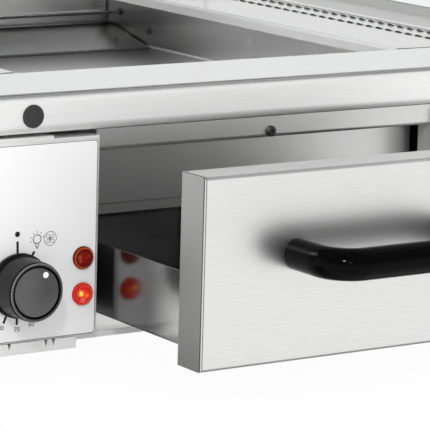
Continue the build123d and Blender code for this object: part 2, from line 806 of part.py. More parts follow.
blade_count = 16
blade_chord = 20.0
blade_inset = 12.0
blade_gauge = 1.2
hub_diameter = 26.0
impeller_disc = 1.6
with BuildPart() as fan_impeller:
    rod((0, fan_y, impeller_low), impeller_diameter, impeller_disc)
    rod((0, fan_y, impeller_low), hub_diameter, impeller_height)
    with Locations((0, fan_y, impeller_low + impeller_height / 2)):
        with PolarLocations(impeller_diameter / 2 - blade_inset, blade_count):
            with Locations(Location((0, 0, 0), (0, 0, 35))):
                Box(blade_chord, blade_gauge, impeller_height)
    hub_bore = impeller_height + 2 * impeller_disc
    rod((0, fan_y, impeller_low - impeller_disc), shaft_diameter, hub_bore, mode=Mode.SUBTRACT)
fan_impeller.part.label = "fan_impeller"
export_step(fan_impeller.part, "parts/fan_impeller.step")

# Display well, the sloping baffle at its far end and the casing behind it
well_near = face + ledge_depth + seat_gap
well_far = face + display_end - slide_gap
well_radius = 3.0
well_rim = deck - sheet - seat_gap
well_flange = 14.0
well_bolt_places = ((5.6, 13.0), (49.6, 24.1))
well_bolts = [(baffle_start + near, well_floor + rise) for near, rise in well_bolt_places]
bolt_head = 5.0
bolt_head_height = 1.4
bolt_shank = 3.0
bolt_length = 5.0
with BuildPart() as well_basin:
    outer_z = (well_floor - sheet, well_rim)
    block((-half_well - sheet, half_well + sheet), (well_near, well_far), outer_z)
    outer_edges = well_basin.edges().group_by(Axis.Z)[0]
    fillet(outer_edges, well_radius + sheet)
well_shell = well_basin.part
with BuildPart() as well_hollow:
    hollow_y = (well_near + sheet, well_far - sheet)
    block((-half_well, half_well), hollow_y, (well_floor, well_rim + 2 * sheet))
    fillet(well_hollow.edges().group_by(Axis.Z)[0], well_radius)
with BuildPart() as well_basin:
    add(well_shell)
    add(well_hollow.part, mode=Mode.SUBTRACT)
    rear_cut = (well_far - 2 * sheet, well_far + sheet)
    block((-half_width, half_width), rear_cut, (slot_bottom, deck), Mode.SUBTRACT)
    for sign in SIDES:
        flange = side_x(sign, half_well + sheet / 2, half_well + well_flange)
        block(flange, (well_near, well_far - 3 * sheet), (well_rim - sheet, well_rim))
        for inset, z in well_bolts:
            hole_x = side_x(sign, half_well - sheet, half_well + 2 * sheet)[0]
            hole = bolt_shank + screw_clearance
            rod((hole_x, face + inset, z), hole, 3 * sheet, "X", Mode.SUBTRACT)
well_basin.part.label = "well_basin"
export_step(well_basin.part, "parts/well_basin.step")

with BuildPart() as basin_screws:
    for sign in SIDES:
        for inset, z in well_bolts:
            head_x = side_x(sign, half_well - bolt_head_height, half_well)[0]
            rod((head_x, face + inset, z), bolt_head, bolt_head_height, "X")
            shank_x = side_x(sign, half_well, half_well + bolt_length)[0]
            rod((shank_x, face + inset, z), bolt_shank, bolt_length, "X")
basin_screws.part.label = "basin_screws"
export_step(basin_screws.part, "parts/basin_screws.step")

baffle_gap = 1.8
baffle_lead = 3.0
tight_bend = 1.2
baffle_half = half_well - baffle_gap
baffle_low = well_floor + sheet / 2 + seat_gap
baffle_points = [
    (face + baffle_start, baffle_low),
    (face + baffle_start + baffle_lead, baffle_low),
    (face + baffle_end, baffle_low + baffle_rise),
    (well_far - 2.2 * sheet, baffle_low + baffle_rise),
]
baffle_plane = Plane.YZ.offset(-baffle_half)
baffle_sheet = bent_sheet(baffle_plane, baffle_points, 2 * baffle_half, bend=tight_bend)
with BuildPart() as air_baffle:
    add(baffle_sheet)
air_baffle.part.label = "air_baffle"
export_step(air_baffle.part, "parts/air_baffle.step")

casing_half = half_width - sheet - seat_gap
bulkhead_y = face + display_end + sheet / 2
rear_y = face + unit_depth - sheet / 2
hem_depth = 3.6
casing_points = [
    (bulkhead_y - hem_depth, slot_top + sheet / 2),
    (bulkhead_y, slot_top + sheet / 2),
    (bulkhead_y, band_deck - sheet / 2),
    (rear_y, band_deck - sheet / 2),
    (rear_y, foot_height + sheet / 2),
]
casing_plane = Plane.YZ.offset(-casing_half)
casing_sheet = bent_sheet(casing_plane, casing_points, 2 * casing_half, bend=tight_bend)
gland_x = -(half_width - gland_inset)
gland_z = foot_height + gland_height
gland_bore = 9.0
gland_thread = 16.0
gland_tail = 12.0
gland_hexagon = 12.0
gland_flat = 5.0
gland_dome = 17.0
gland_round = 3.0
outlet_height = 74.0
outlet_length = 22.0
outlet_width = 3.4
outlet_pitch = 30.0
outlet_row_pitch = 12.0
with BuildPart() as rear_casing:
    add(casing_sheet)
    for sign in SIDES:
        hem_cut = side_x(sign, half_well - sheet, half_width)
        hem_y = (face + display_end - 2 * hem_depth, face + display_end)
        block(hem_cut, hem_y, (slot_top - sheet, slot_top + 3 * sheet), Mode.SUBTRACT)
    gland_hole = (gland_x, rear_y - 2 * sheet, gland_z)
    rod(gland_hole, gland_thread + screw_clearance, 4 * sheet, "Y", Mode.SUBTRACT)
    with Locations((0, rear_y, foot_height + outlet_height)):
        with GridLocations(outlet_pitch, outlet_row_pitch, 8, 4):
            Box(outlet_length, 4 * sheet, outlet_width, mode=Mode.SUBTRACT)
rear_casing.part.label = "rear_casing"
export_step(rear_casing.part, "parts/rear_casing.step")

duct_gap = 3.0
duct_clearance = 4.0
duct_rise = 5.5
with BuildPart() as air_duct_lip:
    lip_y = (bulkhead_y + duct_gap, bulkhead_y + duct_gap + sheet)
    lip_low = impeller_low + impeller_height + duct_clearance
    block((-half_well, half_well), lip_y, (lip_low, slot_bottom + duct_rise))
air_duct_lip.part.label = "air_duct_lip"
export_step(air_duct_lip.part, "parts/air_duct_lip.step")

with BuildPart() as cable_gland:
    outside = face + unit_depth
    inner_end = rear_y - gland_tail
    rod((gland_x, inner_end, gland_z), gland_thread, gland_tail + 2 * sheet, "Y")
    with BuildSketch(Plane.XZ.offset(-outside)):
        with Locations((gland_x, gland_z)):
            RegularPolygon(gland_hexagon, 6)
    extrude(amount=-gland_flat)
    rod((gland_x, outside + gland_flat, gland_z), gland_dome, gland_reach - gland_flat, "Y")
    fillet(cable_gland.edges().filter_by(GeomType.CIRCLE).group_by(Axis.Y)[-1], gland_round)
    bore_length = gland_tail + gland_reach + 4 * sheet
    rod((gland_x, inner_end - sheet, gland_z), gland_bore, bore_length, "Y", Mode.SUBTRACT)
cable_gland.part.label = "cable_gland"
export_step(cable_gland.part, "parts/cable_gland.step")

# Electrics in the control bay
terminal_inset = 40.0
terminal_length = 72.0
terminal_width = 22.0
terminal_height = 24.0
terminal_rear = 188.0
terminal_pitch = 12.0
terminal_hole = 4.4
with BuildPart() as terminal_block:
    low = foot_height + sheet
    left = terminal_inset - half_width
    near = face + unit_depth - terminal_rear - terminal_width
    top = low + terminal_height
    block((left, left + terminal_length), (near, near + terminal_width), (low, top))
    with Locations((left + terminal_length / 2, near + terminal_width / 2, top)):
        with GridLocations(terminal_pitch, terminal_pitch, 6, 2):
            Cylinder(terminal_hole / 2, terminal_height / 2, mode=Mode.SUBTRACT)
terminal_block.part.label = "terminal_block"
export_step(terminal_block.part, "parts/terminal_block.step")

cutout_start = 300.0
cutout_diameter = 18.0
cutout_height = 10.0
cutout_tab = 6.0
cutout_tab_width = 16.0
with BuildPart() as safety_cutout:
    cutout_y = face + cutout_start
    cutout_x = -plenum_half - cutout_height
    rod((cutout_x, cutout_y, heater_z), cutout_diameter, cutout_height, "X")
    tab_y = (cutout_y - cutout_tab_width / 2, cutout_y + cutout_tab_width / 2)
    tab_z = (heater_z - cutout_tab / 2, heater_z + cutout_tab / 2)
    block((cutout_x - cutout_tab, cutout_x), tab_y, tab_z)
safety_cutout.part.label = "safety_cutout"
export_step(safety_cutout.part, "parts/safety_cutout.step")

# Slotted plates beside the well
plate_gap = 1.0
plate_near = face + ledge_depth + plate_gap
plate_far = well_far - slide_gap
flange_x = half_well - seat_gap - sheet / 2
plate_top = deck - sheet / 2
slot_count = int((plate_far - plate_near - 2 * slot_pitch) / slot_pitch)
trough = plate_top - sheet
trough_inset = 52.0
trough_ridge = 5.5
trough_slope = 2.5
trough_bend = 1.6
relief_length = 9.0
relief_width = 1.4
trough_start = half_well + trough_inset
trough_end = plate_edge - trough_ridge
plate_folds = []
for sign in SIDES:
    plate_points = [
        (sign * flange_x, deck - plate_flange),
        (sign * flange_x, plate_top),
        (sign * trough_start, plate_top),
        (sign * (trough_start + trough_slope), trough),
        (sign * (trough_end - trough_slope), trough),
        (sign * trough_end, plate_top),
        (sign * plate_edge, plate_top),
    ]
    plate_plane = Plane.XZ.offset(-plate_near)
    plate_length = plate_far - plate_near
    plate_folds.append(bent_sheet(plate_plane, plate_points, -plate_length, bend=trough_bend))
with BuildPart() as slotted_plates:
    for fold in plate_folds:
        add(fold)
    for sign in SIDES:
        for row in slot_rows:
            with BuildSketch(Plane.XY.offset(deck - 4 * sheet)):
                with Locations((sign * (half_well + row), (plate_near + plate_far) / 2)):
                    with GridLocations(slot_pitch, slot_pitch, 1, slot_count):
                        SlotOverall(slot_length, slot_width, rotation=90)
            extrude(amount=5 * sheet, mode=Mode.SUBTRACT)
        relief = side_x(sign, flange_x - 2 * sheet, flange_x + relief_length)
        relief_y = (plate_near - sheet, plate_near + relief_width)
        relief_z = (deck - plate_flange - sheet, deck + sheet)
        block(relief, relief_y, relief_z, Mode.SUBTRACT)
slotted_plates.part.label = "slotted_plates"
export_step(slotted_plates.part, "parts/slotted_plates.step")

# Glass hood: channels, side panes, curved customer pane, posts and canopy
pane_margin = 2.5
pane_lift = 2.0
pane_outer = half_width - pane_margin
pane_inner = pane_outer - glass
glass_low = band_deck + pane_lift
glass_top = deck + hood_height
canopy_rear = glass_start + canopy_depth
curve_depth = glass_end - canopy_rear
curve_low = glass_low + glass_straight
side_channel = pane_inner - glass_play - channel_wall
front_outer = face + glass_end + slide_gap
with BuildPart() as glass_channels:
    channel_z = (band_deck, band_deck + channel_height)
    groove_z = (glass_low - glass_play, band_deck + channel_height + sheet)
    for sign in SIDES:
        outer = side_x(sign, side_channel, pane_outer + glass_play + channel_wall)
        span = (face + glass_start, face + glass_end)
        block(outer, span, channel_z)
        groove = side_x(sign, pane_inner - glass_play, pane_outer + glass_play)
        block(groove, (span[0] - sheet, span[1] + sheet), groove_z, Mode.SUBTRACT)
    front_half = side_channel - band_gap
    wall = glass_play + channel_wall
    block((-front_half, front_half), (front_outer - wall, front_outer + glass + wall), channel_z)
    groove = (front_outer - glass_play, front_outer + glass + glass_play)
    block((-front_half - sheet, front_half + sheet), groove, groove_z, Mode.SUBTRACT)
glass_channels.part.label = "glass_channels"
export_step(glass_channels.part, "parts/glass_channels.step")

with BuildPart() as side_glasses:
    for start_x in (-pane_outer, pane_inner):
        with BuildSketch(Plane.YZ.offset(start_x)):
            with BuildLine():
                Polyline(
                    (face + canopy_rear, glass_top),
                    (face + glass_start, glass_top),
                    (face + glass_start, glass_low),
                    (face + glass_end, glass_low),
                    (face + glass_end, curve_low),
                )
                curve_rise = glass_top - curve_low
                EllipticalCenterArc((face + canopy_rear, curve_low), curve_depth, curve_rise, arc_size=90)
            make_face()
        extrude(amount=glass)
side_glasses.part.label = "side_glasses"
export_step(side_glasses.part, "parts/side_glasses.step")

with BuildPart() as front_glass:
    with BuildSketch(Plane.YZ.offset(-pane_outer)):
        with BuildLine():
            centre = (face + canopy_rear, curve_low)
            near_radii = (curve_depth + slide_gap, curve_rise + slide_gap)
            far_radii = (near_radii[0] + glass, near_radii[1] + glass)
            inner = EllipticalCenterArc(centre, *near_radii, arc_size=90)
            outer = EllipticalCenterArc(centre, *far_radii, arc_size=90)
            Line(inner @ 1, outer @ 1)
            foot_inner = (front_outer, glass_low)
            foot_outer = (front_outer + glass, glass_low)
            Polyline(inner @ 0, foot_inner, foot_outer, outer @ 0)
        make_face()
    extrude(amount=2 * pane_outer)
front_glass.part.label = "front_glass"
export_step(front_glass.part, "parts/front_glass.step")

canopy_low = glass_top + seat_gap
canopy_top = canopy_low + canopy_height
canopy_lip = 14.0
hinge_y = face + hinge_inset
hinge_x = 236.0
clamp_width = 34.0
ear_width = 4.0
ear_low = 5.0
ear_high = 7.0
pin_bore = pin_diameter + 2 * running_gap
canopy_radius = 6.0
canopy_y = (face + glass_start, face + canopy_rear - seat_gap)
with BuildPart() as canopy_hollow:
    hollow_y = (canopy_y[0] + sheet, canopy_y[1] - sheet)
    hollow_x = (sheet - pane_outer, pane_outer - sheet)
    block(hollow_x, hollow_y, (canopy_low + sheet, canopy_top - sheet))
    fillet(canopy_hollow.edges().group_by(Axis.Z)[-1], canopy_radius - sheet)
with BuildPart() as canopy:
    block((-pane_outer, pane_outer), canopy_y, (canopy_low, canopy_top))
    fillet(canopy.edges().group_by(Axis.Z)[-1], canopy_radius)
    add(canopy_hollow.part, mode=Mode.SUBTRACT)
    opening_x = (canopy_lip - pane_outer, pane_outer - canopy_lip)
    opening_y = (canopy_y[0] + canopy_lip, canopy_y[1] - canopy_lip)
    block(opening_x, opening_y, (canopy_low - sheet, canopy_low + 2 * sheet), Mode.SUBTRACT)
    for sign in SIDES:
        for offset in SIDES:
            ear_x = sign * hinge_x + offset * (clamp_width / 2 + ear_width / 2 + seat_gap)
            ear = (ear_x - ear_width / 2, ear_x + ear_width / 2)
            ear_z = (hinge_height - ear_low, hinge_height + ear_high)
            block(ear, (hinge_y - ear_low, canopy_y[0]), ear_z)
    rod((-half_width, hinge_y, hinge_height), pin_bore, unit_width, "X", Mode.SUBTRACT)
canopy.part.label = "canopy"
export_step(canopy.part, "parts/canopy.step")

cover_thick = 3.0
cover_seat = 6.0
cover_gap = 0.1
with BuildPart() as lamp_cover:
    cover_low = canopy_low + sheet + cover_gap
    cover_x = (canopy_lip - pane_outer - cover_seat, pane_outer - canopy_lip + cover_seat)
    cover_y = (opening_y[0] - cover_seat, opening_y[1] + cover_seat)
    block(cover_x, cover_y, (cover_low, cover_low + cover_thick))
lamp_cover.part.label = "lamp_cover"
export_step(lamp_cover.part, "parts/lamp_cover.step")

tube_diameter = 16.0
tube_margin = 79.5
tube_drop = 11.0
holder_length = 12.0
holder_half = 10.0
holder_drop = 9.0
tube_half = pane_outer - tube_margin
tube_y = face + glass_start + canopy_depth / 2
tube_z = canopy_top - sheet - tube_drop
with BuildPart() as lamp_tube:
    rod((-tube_half, tube_y, tube_z), tube_diameter, 2 * tube_half, "X")
lamp_tube.part.label = "lamp_tube"
export_step(lamp_tube.part, "parts/lamp_tube.step")

with BuildPart() as lamp_holders:
    for sign in SIDES:
        holder = side_x(sign, tube_half, tube_half + holder_length)
        holder_y = (tube_y - holder_half, tube_y + holder_half)
        block(holder, holder_y, (tube_z - holder_drop, canopy_top - sheet))
lamp_holders.part.label = "lamp_holders"
export_step(lamp_holders.part, "parts/lamp_holders.step")

post_diameter = 14.0
post_inset = 20.0
post_margin = 1.0
with BuildPart() as hood_posts:
    post_y = face + glass_start + post_diameter / 2 + post_margin
    for sign in SIDES:
        centre = (sign * (pane_inner - post_inset), post_y, band_deck)
        rod(centre, post_diameter, canopy_low - band_deck)
hood_posts.part.label = "hood_posts"
export_step(hood_posts.part, "parts/hood_posts.step")

# Operator flap of clear glass, hung on two pins between the ears of the canopy, raised at rest
pin_spare = 4.0
hinge_line = Axis((0, hinge_y, hinge_height), (1, 0, 0))
with BuildPart() as hinge_pins:
    for sign in SIDES:
        pin_length = clamp_width + 2 * ear_width + pin_spare
        rod((sign * hinge_x - pin_length / 2, hinge_y, hinge_height), pin_diameter, pin_length, "X")
hinge_pins.part.label = "hinge_pins"
export_step(hinge_pins.part, "parts/hinge_pins.step")

clamp_drop = 28.0
clamp_wall = 2.5
pane_drop = 8.0
with BuildPart() as closed_clamps:
    thick = glass / 2 + clamp_wall
    for sign in SIDES:
        clamp_x = (sign * hinge_x - clamp_width / 2, sign * hinge_x + clamp_width / 2)
        rod((clamp_x[0], hinge_y, hinge_height), 2 * thick, clamp_width, "X")
        clamp_z = (hinge_height - clamp_drop, hinge_height)
        block(clamp_x, (hinge_y - thick, hinge_y + thick), clamp_z)
    groove_half = glass / 2 + running_gap
    groove_y = (hinge_y - groove_half, hinge_y + groove_half)
    groove_z = (hinge_height - clamp_drop - sheet, hinge_height - pane_drop + seat_gap)
    block((-half_width, half_width), groove_y, groove_z, Mode.SUBTRACT)
    rod((-half_width, hinge_y, hinge_height), pin_bore, unit_width, "X", Mode.SUBTRACT)
with BuildPart() as flap_clamps:
    add(closed_clamps.part.rotate(hinge_line, -flap_angle))
flap_clamps.part.label = "flap_clamps"
export_step(flap_clamps.part, "parts/flap_clamps.step")

flap_top = hinge_height - pane_drop
flap_bottom = hinge_height - flap_drop
grip_x = 55.0
grip_rise = 24.0
grip_z = flap_bottom + grip_rise
grip_reach = 18.0
grip_leg = 9.0
grip_bar = 11.0
grip_overhang = 14.0
grip_bolt = 5.0
bolt_cap = 9.0
bolt_cap_height = 2.6
with BuildPart() as closed_flap:
    pane_y = (hinge_y - glass / 2, hinge_y + glass / 2)
    block((-flap_width / 2, flap_width / 2), pane_y, (flap_bottom, flap_top))
    for sign in SIDES:
        centre = (sign * grip_x, hinge_y - glass, grip_z)
        rod(centre, grip_bolt + screw_clearance, 2 * glass, "Y", Mode.SUBTRACT)
with BuildPart() as flap_glass:
    add(closed_flap.part.rotate(hinge_line, -flap_angle))
flap_glass.part.label = "flap_glass"
export_step(flap_glass.part, "parts/flap_glass.step")

with BuildPart() as closed_grip:
    grip_face = hinge_y - glass / 2
    bar_y = grip_face - grip_reach
    for sign in SIDES:
        rod((sign * grip_x, bar_y, grip_z), grip_leg, grip_reach, "Y")
    bar_half = grip_x + grip_overhang
    rod((-bar_half, bar_y, grip_z), grip_bar, 2 * bar_half, "X")
with BuildPart() as flap_grip:
    add(closed_grip.part.rotate(hinge_line, -flap_angle))
flap_grip.part.label = "flap_grip"
export_step(flap_grip.part, "parts/flap_grip.step")

with BuildPart() as closed_bolts:
    for sign in SIDES:
        rod((sign * grip_x, grip_face, grip_z), grip_bolt, glass + running_gap, "Y")
        cap_start = (sign * grip_x, grip_face + glass + running_gap, grip_z)
        rod(cap_start, bolt_cap, bolt_cap_height, "Y")
with BuildPart() as grip_bolts:
    add(closed_bolts.part.rotate(hinge_line, -flap_angle))
grip_bolts.part.label = "grip_bolts"
export_step(grip_bolts.part, "parts/grip_bolts.step")
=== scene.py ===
# %% [markdown]
# # Hot food counter, dressed for its picture
#
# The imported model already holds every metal, glass and plastic piece at its real size. This lesson loads
# it, gives each piece a finish, and adds what a machine shop drawing leaves out: the printed dial, the
# turned rings of the knob, the lenses of the lamps, the pressed slots of the side plates. All of it shares
# the model's frame, in metres, so a new piece lands in its place at once.

import math

import bpy
from mathutils import Matrix, Vector


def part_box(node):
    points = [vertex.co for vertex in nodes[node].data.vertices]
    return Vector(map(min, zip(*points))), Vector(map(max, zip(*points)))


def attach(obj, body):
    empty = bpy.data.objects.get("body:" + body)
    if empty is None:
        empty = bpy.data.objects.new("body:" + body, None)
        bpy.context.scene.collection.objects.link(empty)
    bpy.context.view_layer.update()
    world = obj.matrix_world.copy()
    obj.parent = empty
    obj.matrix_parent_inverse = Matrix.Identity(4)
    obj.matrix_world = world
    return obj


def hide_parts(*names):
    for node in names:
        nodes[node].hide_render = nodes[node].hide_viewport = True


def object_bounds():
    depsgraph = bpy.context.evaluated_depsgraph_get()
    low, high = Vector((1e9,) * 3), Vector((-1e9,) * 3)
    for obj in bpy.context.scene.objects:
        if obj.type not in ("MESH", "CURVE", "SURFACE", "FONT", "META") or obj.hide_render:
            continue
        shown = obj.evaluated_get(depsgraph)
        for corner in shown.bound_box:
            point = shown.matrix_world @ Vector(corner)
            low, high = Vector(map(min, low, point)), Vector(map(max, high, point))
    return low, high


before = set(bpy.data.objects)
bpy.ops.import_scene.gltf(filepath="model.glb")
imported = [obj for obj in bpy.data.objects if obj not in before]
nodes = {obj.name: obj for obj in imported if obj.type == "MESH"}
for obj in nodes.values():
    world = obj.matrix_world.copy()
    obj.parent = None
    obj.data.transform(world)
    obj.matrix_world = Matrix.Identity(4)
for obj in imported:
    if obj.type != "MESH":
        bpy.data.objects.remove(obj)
packed_box = [list(corner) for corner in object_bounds()]

# %% [markdown]
# ## A ruler on the control panel
#
# Most of what is added sits on the control panel, so places are given in millimetres from the panel's right
# edge, from its front face and from its bottom edge. The three numbers that this needs are read from the
# panel itself, which keeps the dial on the panel even if the panel is made again at another place.

# %% Read the panel's place
panel_low, panel_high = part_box("control_panel")
PANEL_EDGE = panel_high.x
PANEL_FACE = panel_low.y
PANEL_BOTTOM = panel_low.z
MM = 0.001


def at_panel(x, y, z):
    """A point x mm right of the panel's right edge, y mm behind its face and z mm above its bottom edge."""
    return Vector((PANEL_EDGE + x * MM, PANEL_FACE + y * MM, PANEL_BOTTOM + z * MM))


print("panel face at", round(PANEL_FACE, 4), "right edge at", round(PANEL_EDGE, 4))

# %% [markdown]
# ## The camera
#
# The camera stands to the operator's left, higher than the rail, and looks at the front on a slant. A long
# lens is used, because the picture shows a small part of the counter from about two metres away, and the
# edges of the drawer stay almost parallel. The camera's three turns are written as a matrix, since a camera
# looks along its own -Z axis.

# %% Place the camera
YAW, PITCH, ROLL = (math.radians(angle) for angle in (33.61, 10.87, 1.59))
SENSOR_WIDTH = 36.0
PICTURE_WIDTH = 430.0
FOCAL_PIXELS = 2870.8
CAMERA_PLACE = at_panel(-917.8, -1512.7, 417.8)
forward = Vector((math.sin(YAW) * math.cos(PITCH), math.cos(YAW) * math.cos(PITCH), -math.sin(PITCH)))
level_right = Vector((math.cos(YAW), -math.sin(YAW), 0))
level_up = level_right.cross(forward)
right = math.cos(ROLL) * level_right + math.sin(ROLL) * level_up
up = -math.sin(ROLL) * level_right + math.cos(ROLL) * level_up

camera_data = bpy.data.cameras.new("camera")
camera_data.sensor_width = SENSOR_WIDTH
camera_data.lens = SENSOR_WIDTH * FOCAL_PIXELS / PICTURE_WIDTH
camera_data.clip_end = 100.0
camera = bpy.data.objects.new("camera", camera_data)
bpy.context.scene.collection.objects.link(camera)
turn = Matrix((right, up, -forward)).transposed()
camera.matrix_world = Matrix.Translation(CAMERA_PLACE) @ turn.to_4x4()
bpy.context.scene.camera = camera
print("lens", round(camera_data.lens, 1), "mm, camera", round(camera.location.length, 2), "m away")

# %% [markdown]
# ## Studio: surroundings, floor and lamps
#
# Steel has hardly any colour of its own. It shows what stands around it, so a counter looks like steel only
# in the right surroundings. A product studio is bright at the back and on the table, and greyer overhead
# and behind the camera. That is why the flat ledge looks white while the rounded rail gets a grey line, and
# it is what the world does here for reflections. The camera itself sees plain white, and plain light falls
# on everything.

# %% Surroundings
scene = bpy.context.scene
scene.view_settings.view_transform = "Standard"
world = bpy.data.worlds.new("studio")
scene.world = world
world.use_nodes = True
sky = world.node_tree
sky.nodes.clear()


def add_node(tree, kind, **values):
    """A new node with its named inputs set."""
    node = tree.nodes.new(kind)
    for name, value in values.items():
        node.inputs[name.replace("_", " ")].default_value = value
    return node


def sums(tree, operation, first, second):
    """The result of a sum on two values, each a socket or a number."""
    node = tree.nodes.new("ShaderNodeMath")
    node.operation = operation
    for socket, value in zip(node.inputs, (first, second)):
        if isinstance(value, (int, float)):
            socket.default_value = value
        else:
            tree.links.new(value, socket)
    return node.outputs[0]


def ranged(tree, source, low, high, source_low=0.3, source_high=0.7, smooth=False):
    """The source spread out between low and high, and held there beyond its own two ends."""
    spread = tree.nodes.new("ShaderNodeMapRange")
    spread.interpolation_type = "SMOOTHSTEP" if smooth else "LINEAR"
    spread.inputs["From Min"].default_value = source_low
    spread.inputs["From Max"].default_value = source_high
    spread.inputs["To Min"].default_value = low
    spread.inputs["To Max"].default_value = high
    tree.links.new(source, spread.inputs["Value"])
    return spread.outputs["Result"]


def mixed(tree, factor, first, second):
    """A value between two sockets."""
    blend = tree.nodes.new("ShaderNodeMix")
    tree.links.new(factor, blend.inputs[0])
    tree.links.new(first, blend.inputs[2])
    tree.links.new(second, blend.inputs[3])
    return blend.outputs[0]


def bounced(tree, kind):
    """1 after at least one bounce of the kind, Diffuse or Glossy, and 0 before."""
    path = tree.nodes.new("ShaderNodeLightPath")
    return sums(tree, "MINIMUM", path.outputs[kind + " Depth"], 1.0)


looking = sky.nodes.new("ShaderNodeTexCoord")
direction = sky.nodes.new("ShaderNodeSeparateXYZ")
sky.links.new(looking.outputs["Generated"], direction.inputs[0])
behind = ranged(sky, direction.outputs["Y"], 0.0, 1.0, -0.25, 0.3, smooth=True)
back_wall = ranged(sky, direction.outputs["Z"], 1.0, 0.42, 0.27, 0.6, smooth=True)
room = ranged(sky, direction.outputs["Z"], 0.85, 0.36, -0.05, 0.35, smooth=True)
mirrored_room = add_node(sky, "ShaderNodeBackground", Color=(1, 1, 1, 1))
sky.links.new(mixed(sky, behind, room, back_wall), mirrored_room.inputs["Strength"])
daylight = add_node(sky, "ShaderNodeBackground", Color=(1, 1, 1, 1), Strength=1.08)
backdrop = add_node(sky, "ShaderNodeBackground", Color=(1, 1, 1, 1), Strength=1.0)


def chosen(tree, factor, first, second):
    """The first shader where the factor, a socket or a number, is 0 and the second where it is 1."""
    choice = tree.nodes.new("ShaderNodeMixShader")
    if isinstance(factor, float):
        choice.inputs[0].default_value = factor
    else:
        tree.links.new(factor, choice.inputs[0])
    tree.links.new(first.outputs[0], choice.inputs[1])
    tree.links.new(second.outputs[0], choice.inputs[2])
    return choice


world_out = sky.nodes.new("ShaderNodeOutputWorld")
seen = chosen(sky, bounced(sky, "Glossy"), backdrop, mirrored_room)
seen = chosen(sky, bounced(sky, "Diffuse"), seen, daylight)
sky.links.new(seen.outputs[0], world_out.inputs[0])
print("world nodes:", len(sky.nodes))

# %% [markdown]
# The floor is white paper. To the camera it is nearly the backdrop's white, so that the object stands free
# with a faint shadow. Reflections see it bright further off and dark close to the counter, where a real
# table lies in the counter's own shade. That shade draws the thin dark line along the lower edge of the
# drawer.

# %% Floor


def object_axis(tree, axis):
    """Where a point of the piece lies along X, Y or Z, in metres."""
    spot = tree.nodes.new("ShaderNodeTexCoord")
    place = tree.nodes.new("ShaderNodeSeparateXYZ")
    tree.links.new(spot.outputs["Object"], place.inputs[0])
    return place.outputs[axis]


bpy.ops.object.select_all(action="DESELECT")
bpy.ops.mesh.primitive_plane_add(size=12.0, location=(0, 0, 0))
floor = bpy.context.object
floor.name = "floor"
floor_paint = bpy.data.materials.new("floor_paint")
floor_paint.use_nodes = True
paper = floor_paint.node_tree
paper.nodes.clear()
high_corner = Vector(packed_box[1])
drawer_front_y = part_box("drawer_front")[0].y
floor_y = object_axis(paper, "Y")
beside = sums(paper, "SUBTRACT", sums(paper, "ABSOLUTE", object_axis(paper, "X"), 0.0), high_corner.x)
before = sums(paper, "SUBTRACT", drawer_front_y, floor_y)
beyond = sums(paper, "SUBTRACT", floor_y, high_corner.y)
away = sums(paper, "MAXIMUM", sums(paper, "MAXIMUM", beside, before), beyond)
table = add_node(paper, "ShaderNodeEmission", Color=(1, 1, 1, 1))
paper.links.new(ranged(paper, away, 0.25, 0.97, 0.0, 0.07, smooth=True), table.inputs["Strength"])
matt = add_node(paper, "ShaderNodeBsdfDiffuse", Color=(0.86, 0.86, 0.86, 1))
glow = add_node(paper, "ShaderNodeEmission", Color=(1, 1, 1, 1), Strength=1.0)
white_paper = chosen(paper, 0.97, matt, glow)
seen_floor = chosen(paper, bounced(paper, "Glossy"), white_paper, table)
lit_floor = chosen(paper, bounced(paper, "Diffuse"), seen_floor, matt)
floor_out = paper.nodes.new("ShaderNodeOutputMaterial")
paper.links.new(lit_floor.outputs[0], floor_out.inputs[0])
floor.data.materials.append(floor_paint)
print("floor is", floor.dimensions.x, "m wide")

# %% Lamps


def broad_lamp(name, place, target, size, power):
    """A square lamp that faces the target."""
    data = bpy.data.lights.new(name, "AREA")
    data.shape = "SQUARE"
    data.size = size
    data.energy = power
    lamp = bpy.data.objects.new(name, data)
    scene.collection.objects.link(lamp)
    lamp.location = place
    lamp.rotation_euler = (Vector(target) - Vector(place)).to_track_quat("-Z", "Y").to_euler()
    return lamp


key_lamp = broad_lamp("key_lamp", (-1.6, -2.2, 1.9), (0, 0, 0.1), 0.3, 22.0)
fill_lamp = broad_lamp("fill_lamp", (2.4, -1.2, 1.4), (0, 0, 0.1), 1.2, 7.0)
glint_lamp = broad_lamp("glint_lamp", (-1.1, -2.7, 1.3), (0, 0, 0.1), 0.09, 2.2)
print("lamps:", key_lamp.name, fill_lamp.name, glint_lamp.name)

# %% [markdown]
# In a real counter light finds its way into the open bay by bouncing between bright sheets many more times
# than a render follows. Two very weak lamps stand for it: one inside the drawer's tray, and one under the
# tray, over the base. The camera doesn't see them, only the soft grey that they leave on the steel.

# %% Light inside the bay
tray_low, tray_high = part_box("drawer_tray")
bay_glow = broad_lamp("bay_glow", (0, tray_high.y - 0.003, 0.066), (0, 0, 0.066), 0.22, 0.0007)
bay_glow.data.shape = "RECTANGLE"
bay_glow.data.size_y = 0.055
base_glow = broad_lamp("base_glow", (-0.085, -0.115, tray_low.z - 0.0015), (-0.085, -0.115, 0), 0.07, 0.011)
for lamp in (bay_glow, base_glow):
    lamp.visible_camera = False
print("bay lamps at", [round(v, 3) for v in bay_glow.location], [round(v, 3) for v in base_glow.location])

# %% [markdown]
# ## Steel
#
# Brushed stainless steel is made by dragging an abrasive belt along the sheet. Up close it is covered in
# fine parallel scratches. A noise that is stretched along one axis gives those scratches, and it changes
# the tone and the roughness by small amounts. The well and its sloping sheet also get a slow swell, because
# thin sheet is never quite flat. The swell is a bump, with its height in metres, and it bends what the
# sheet mirrors.

# %% Helpers for finishes


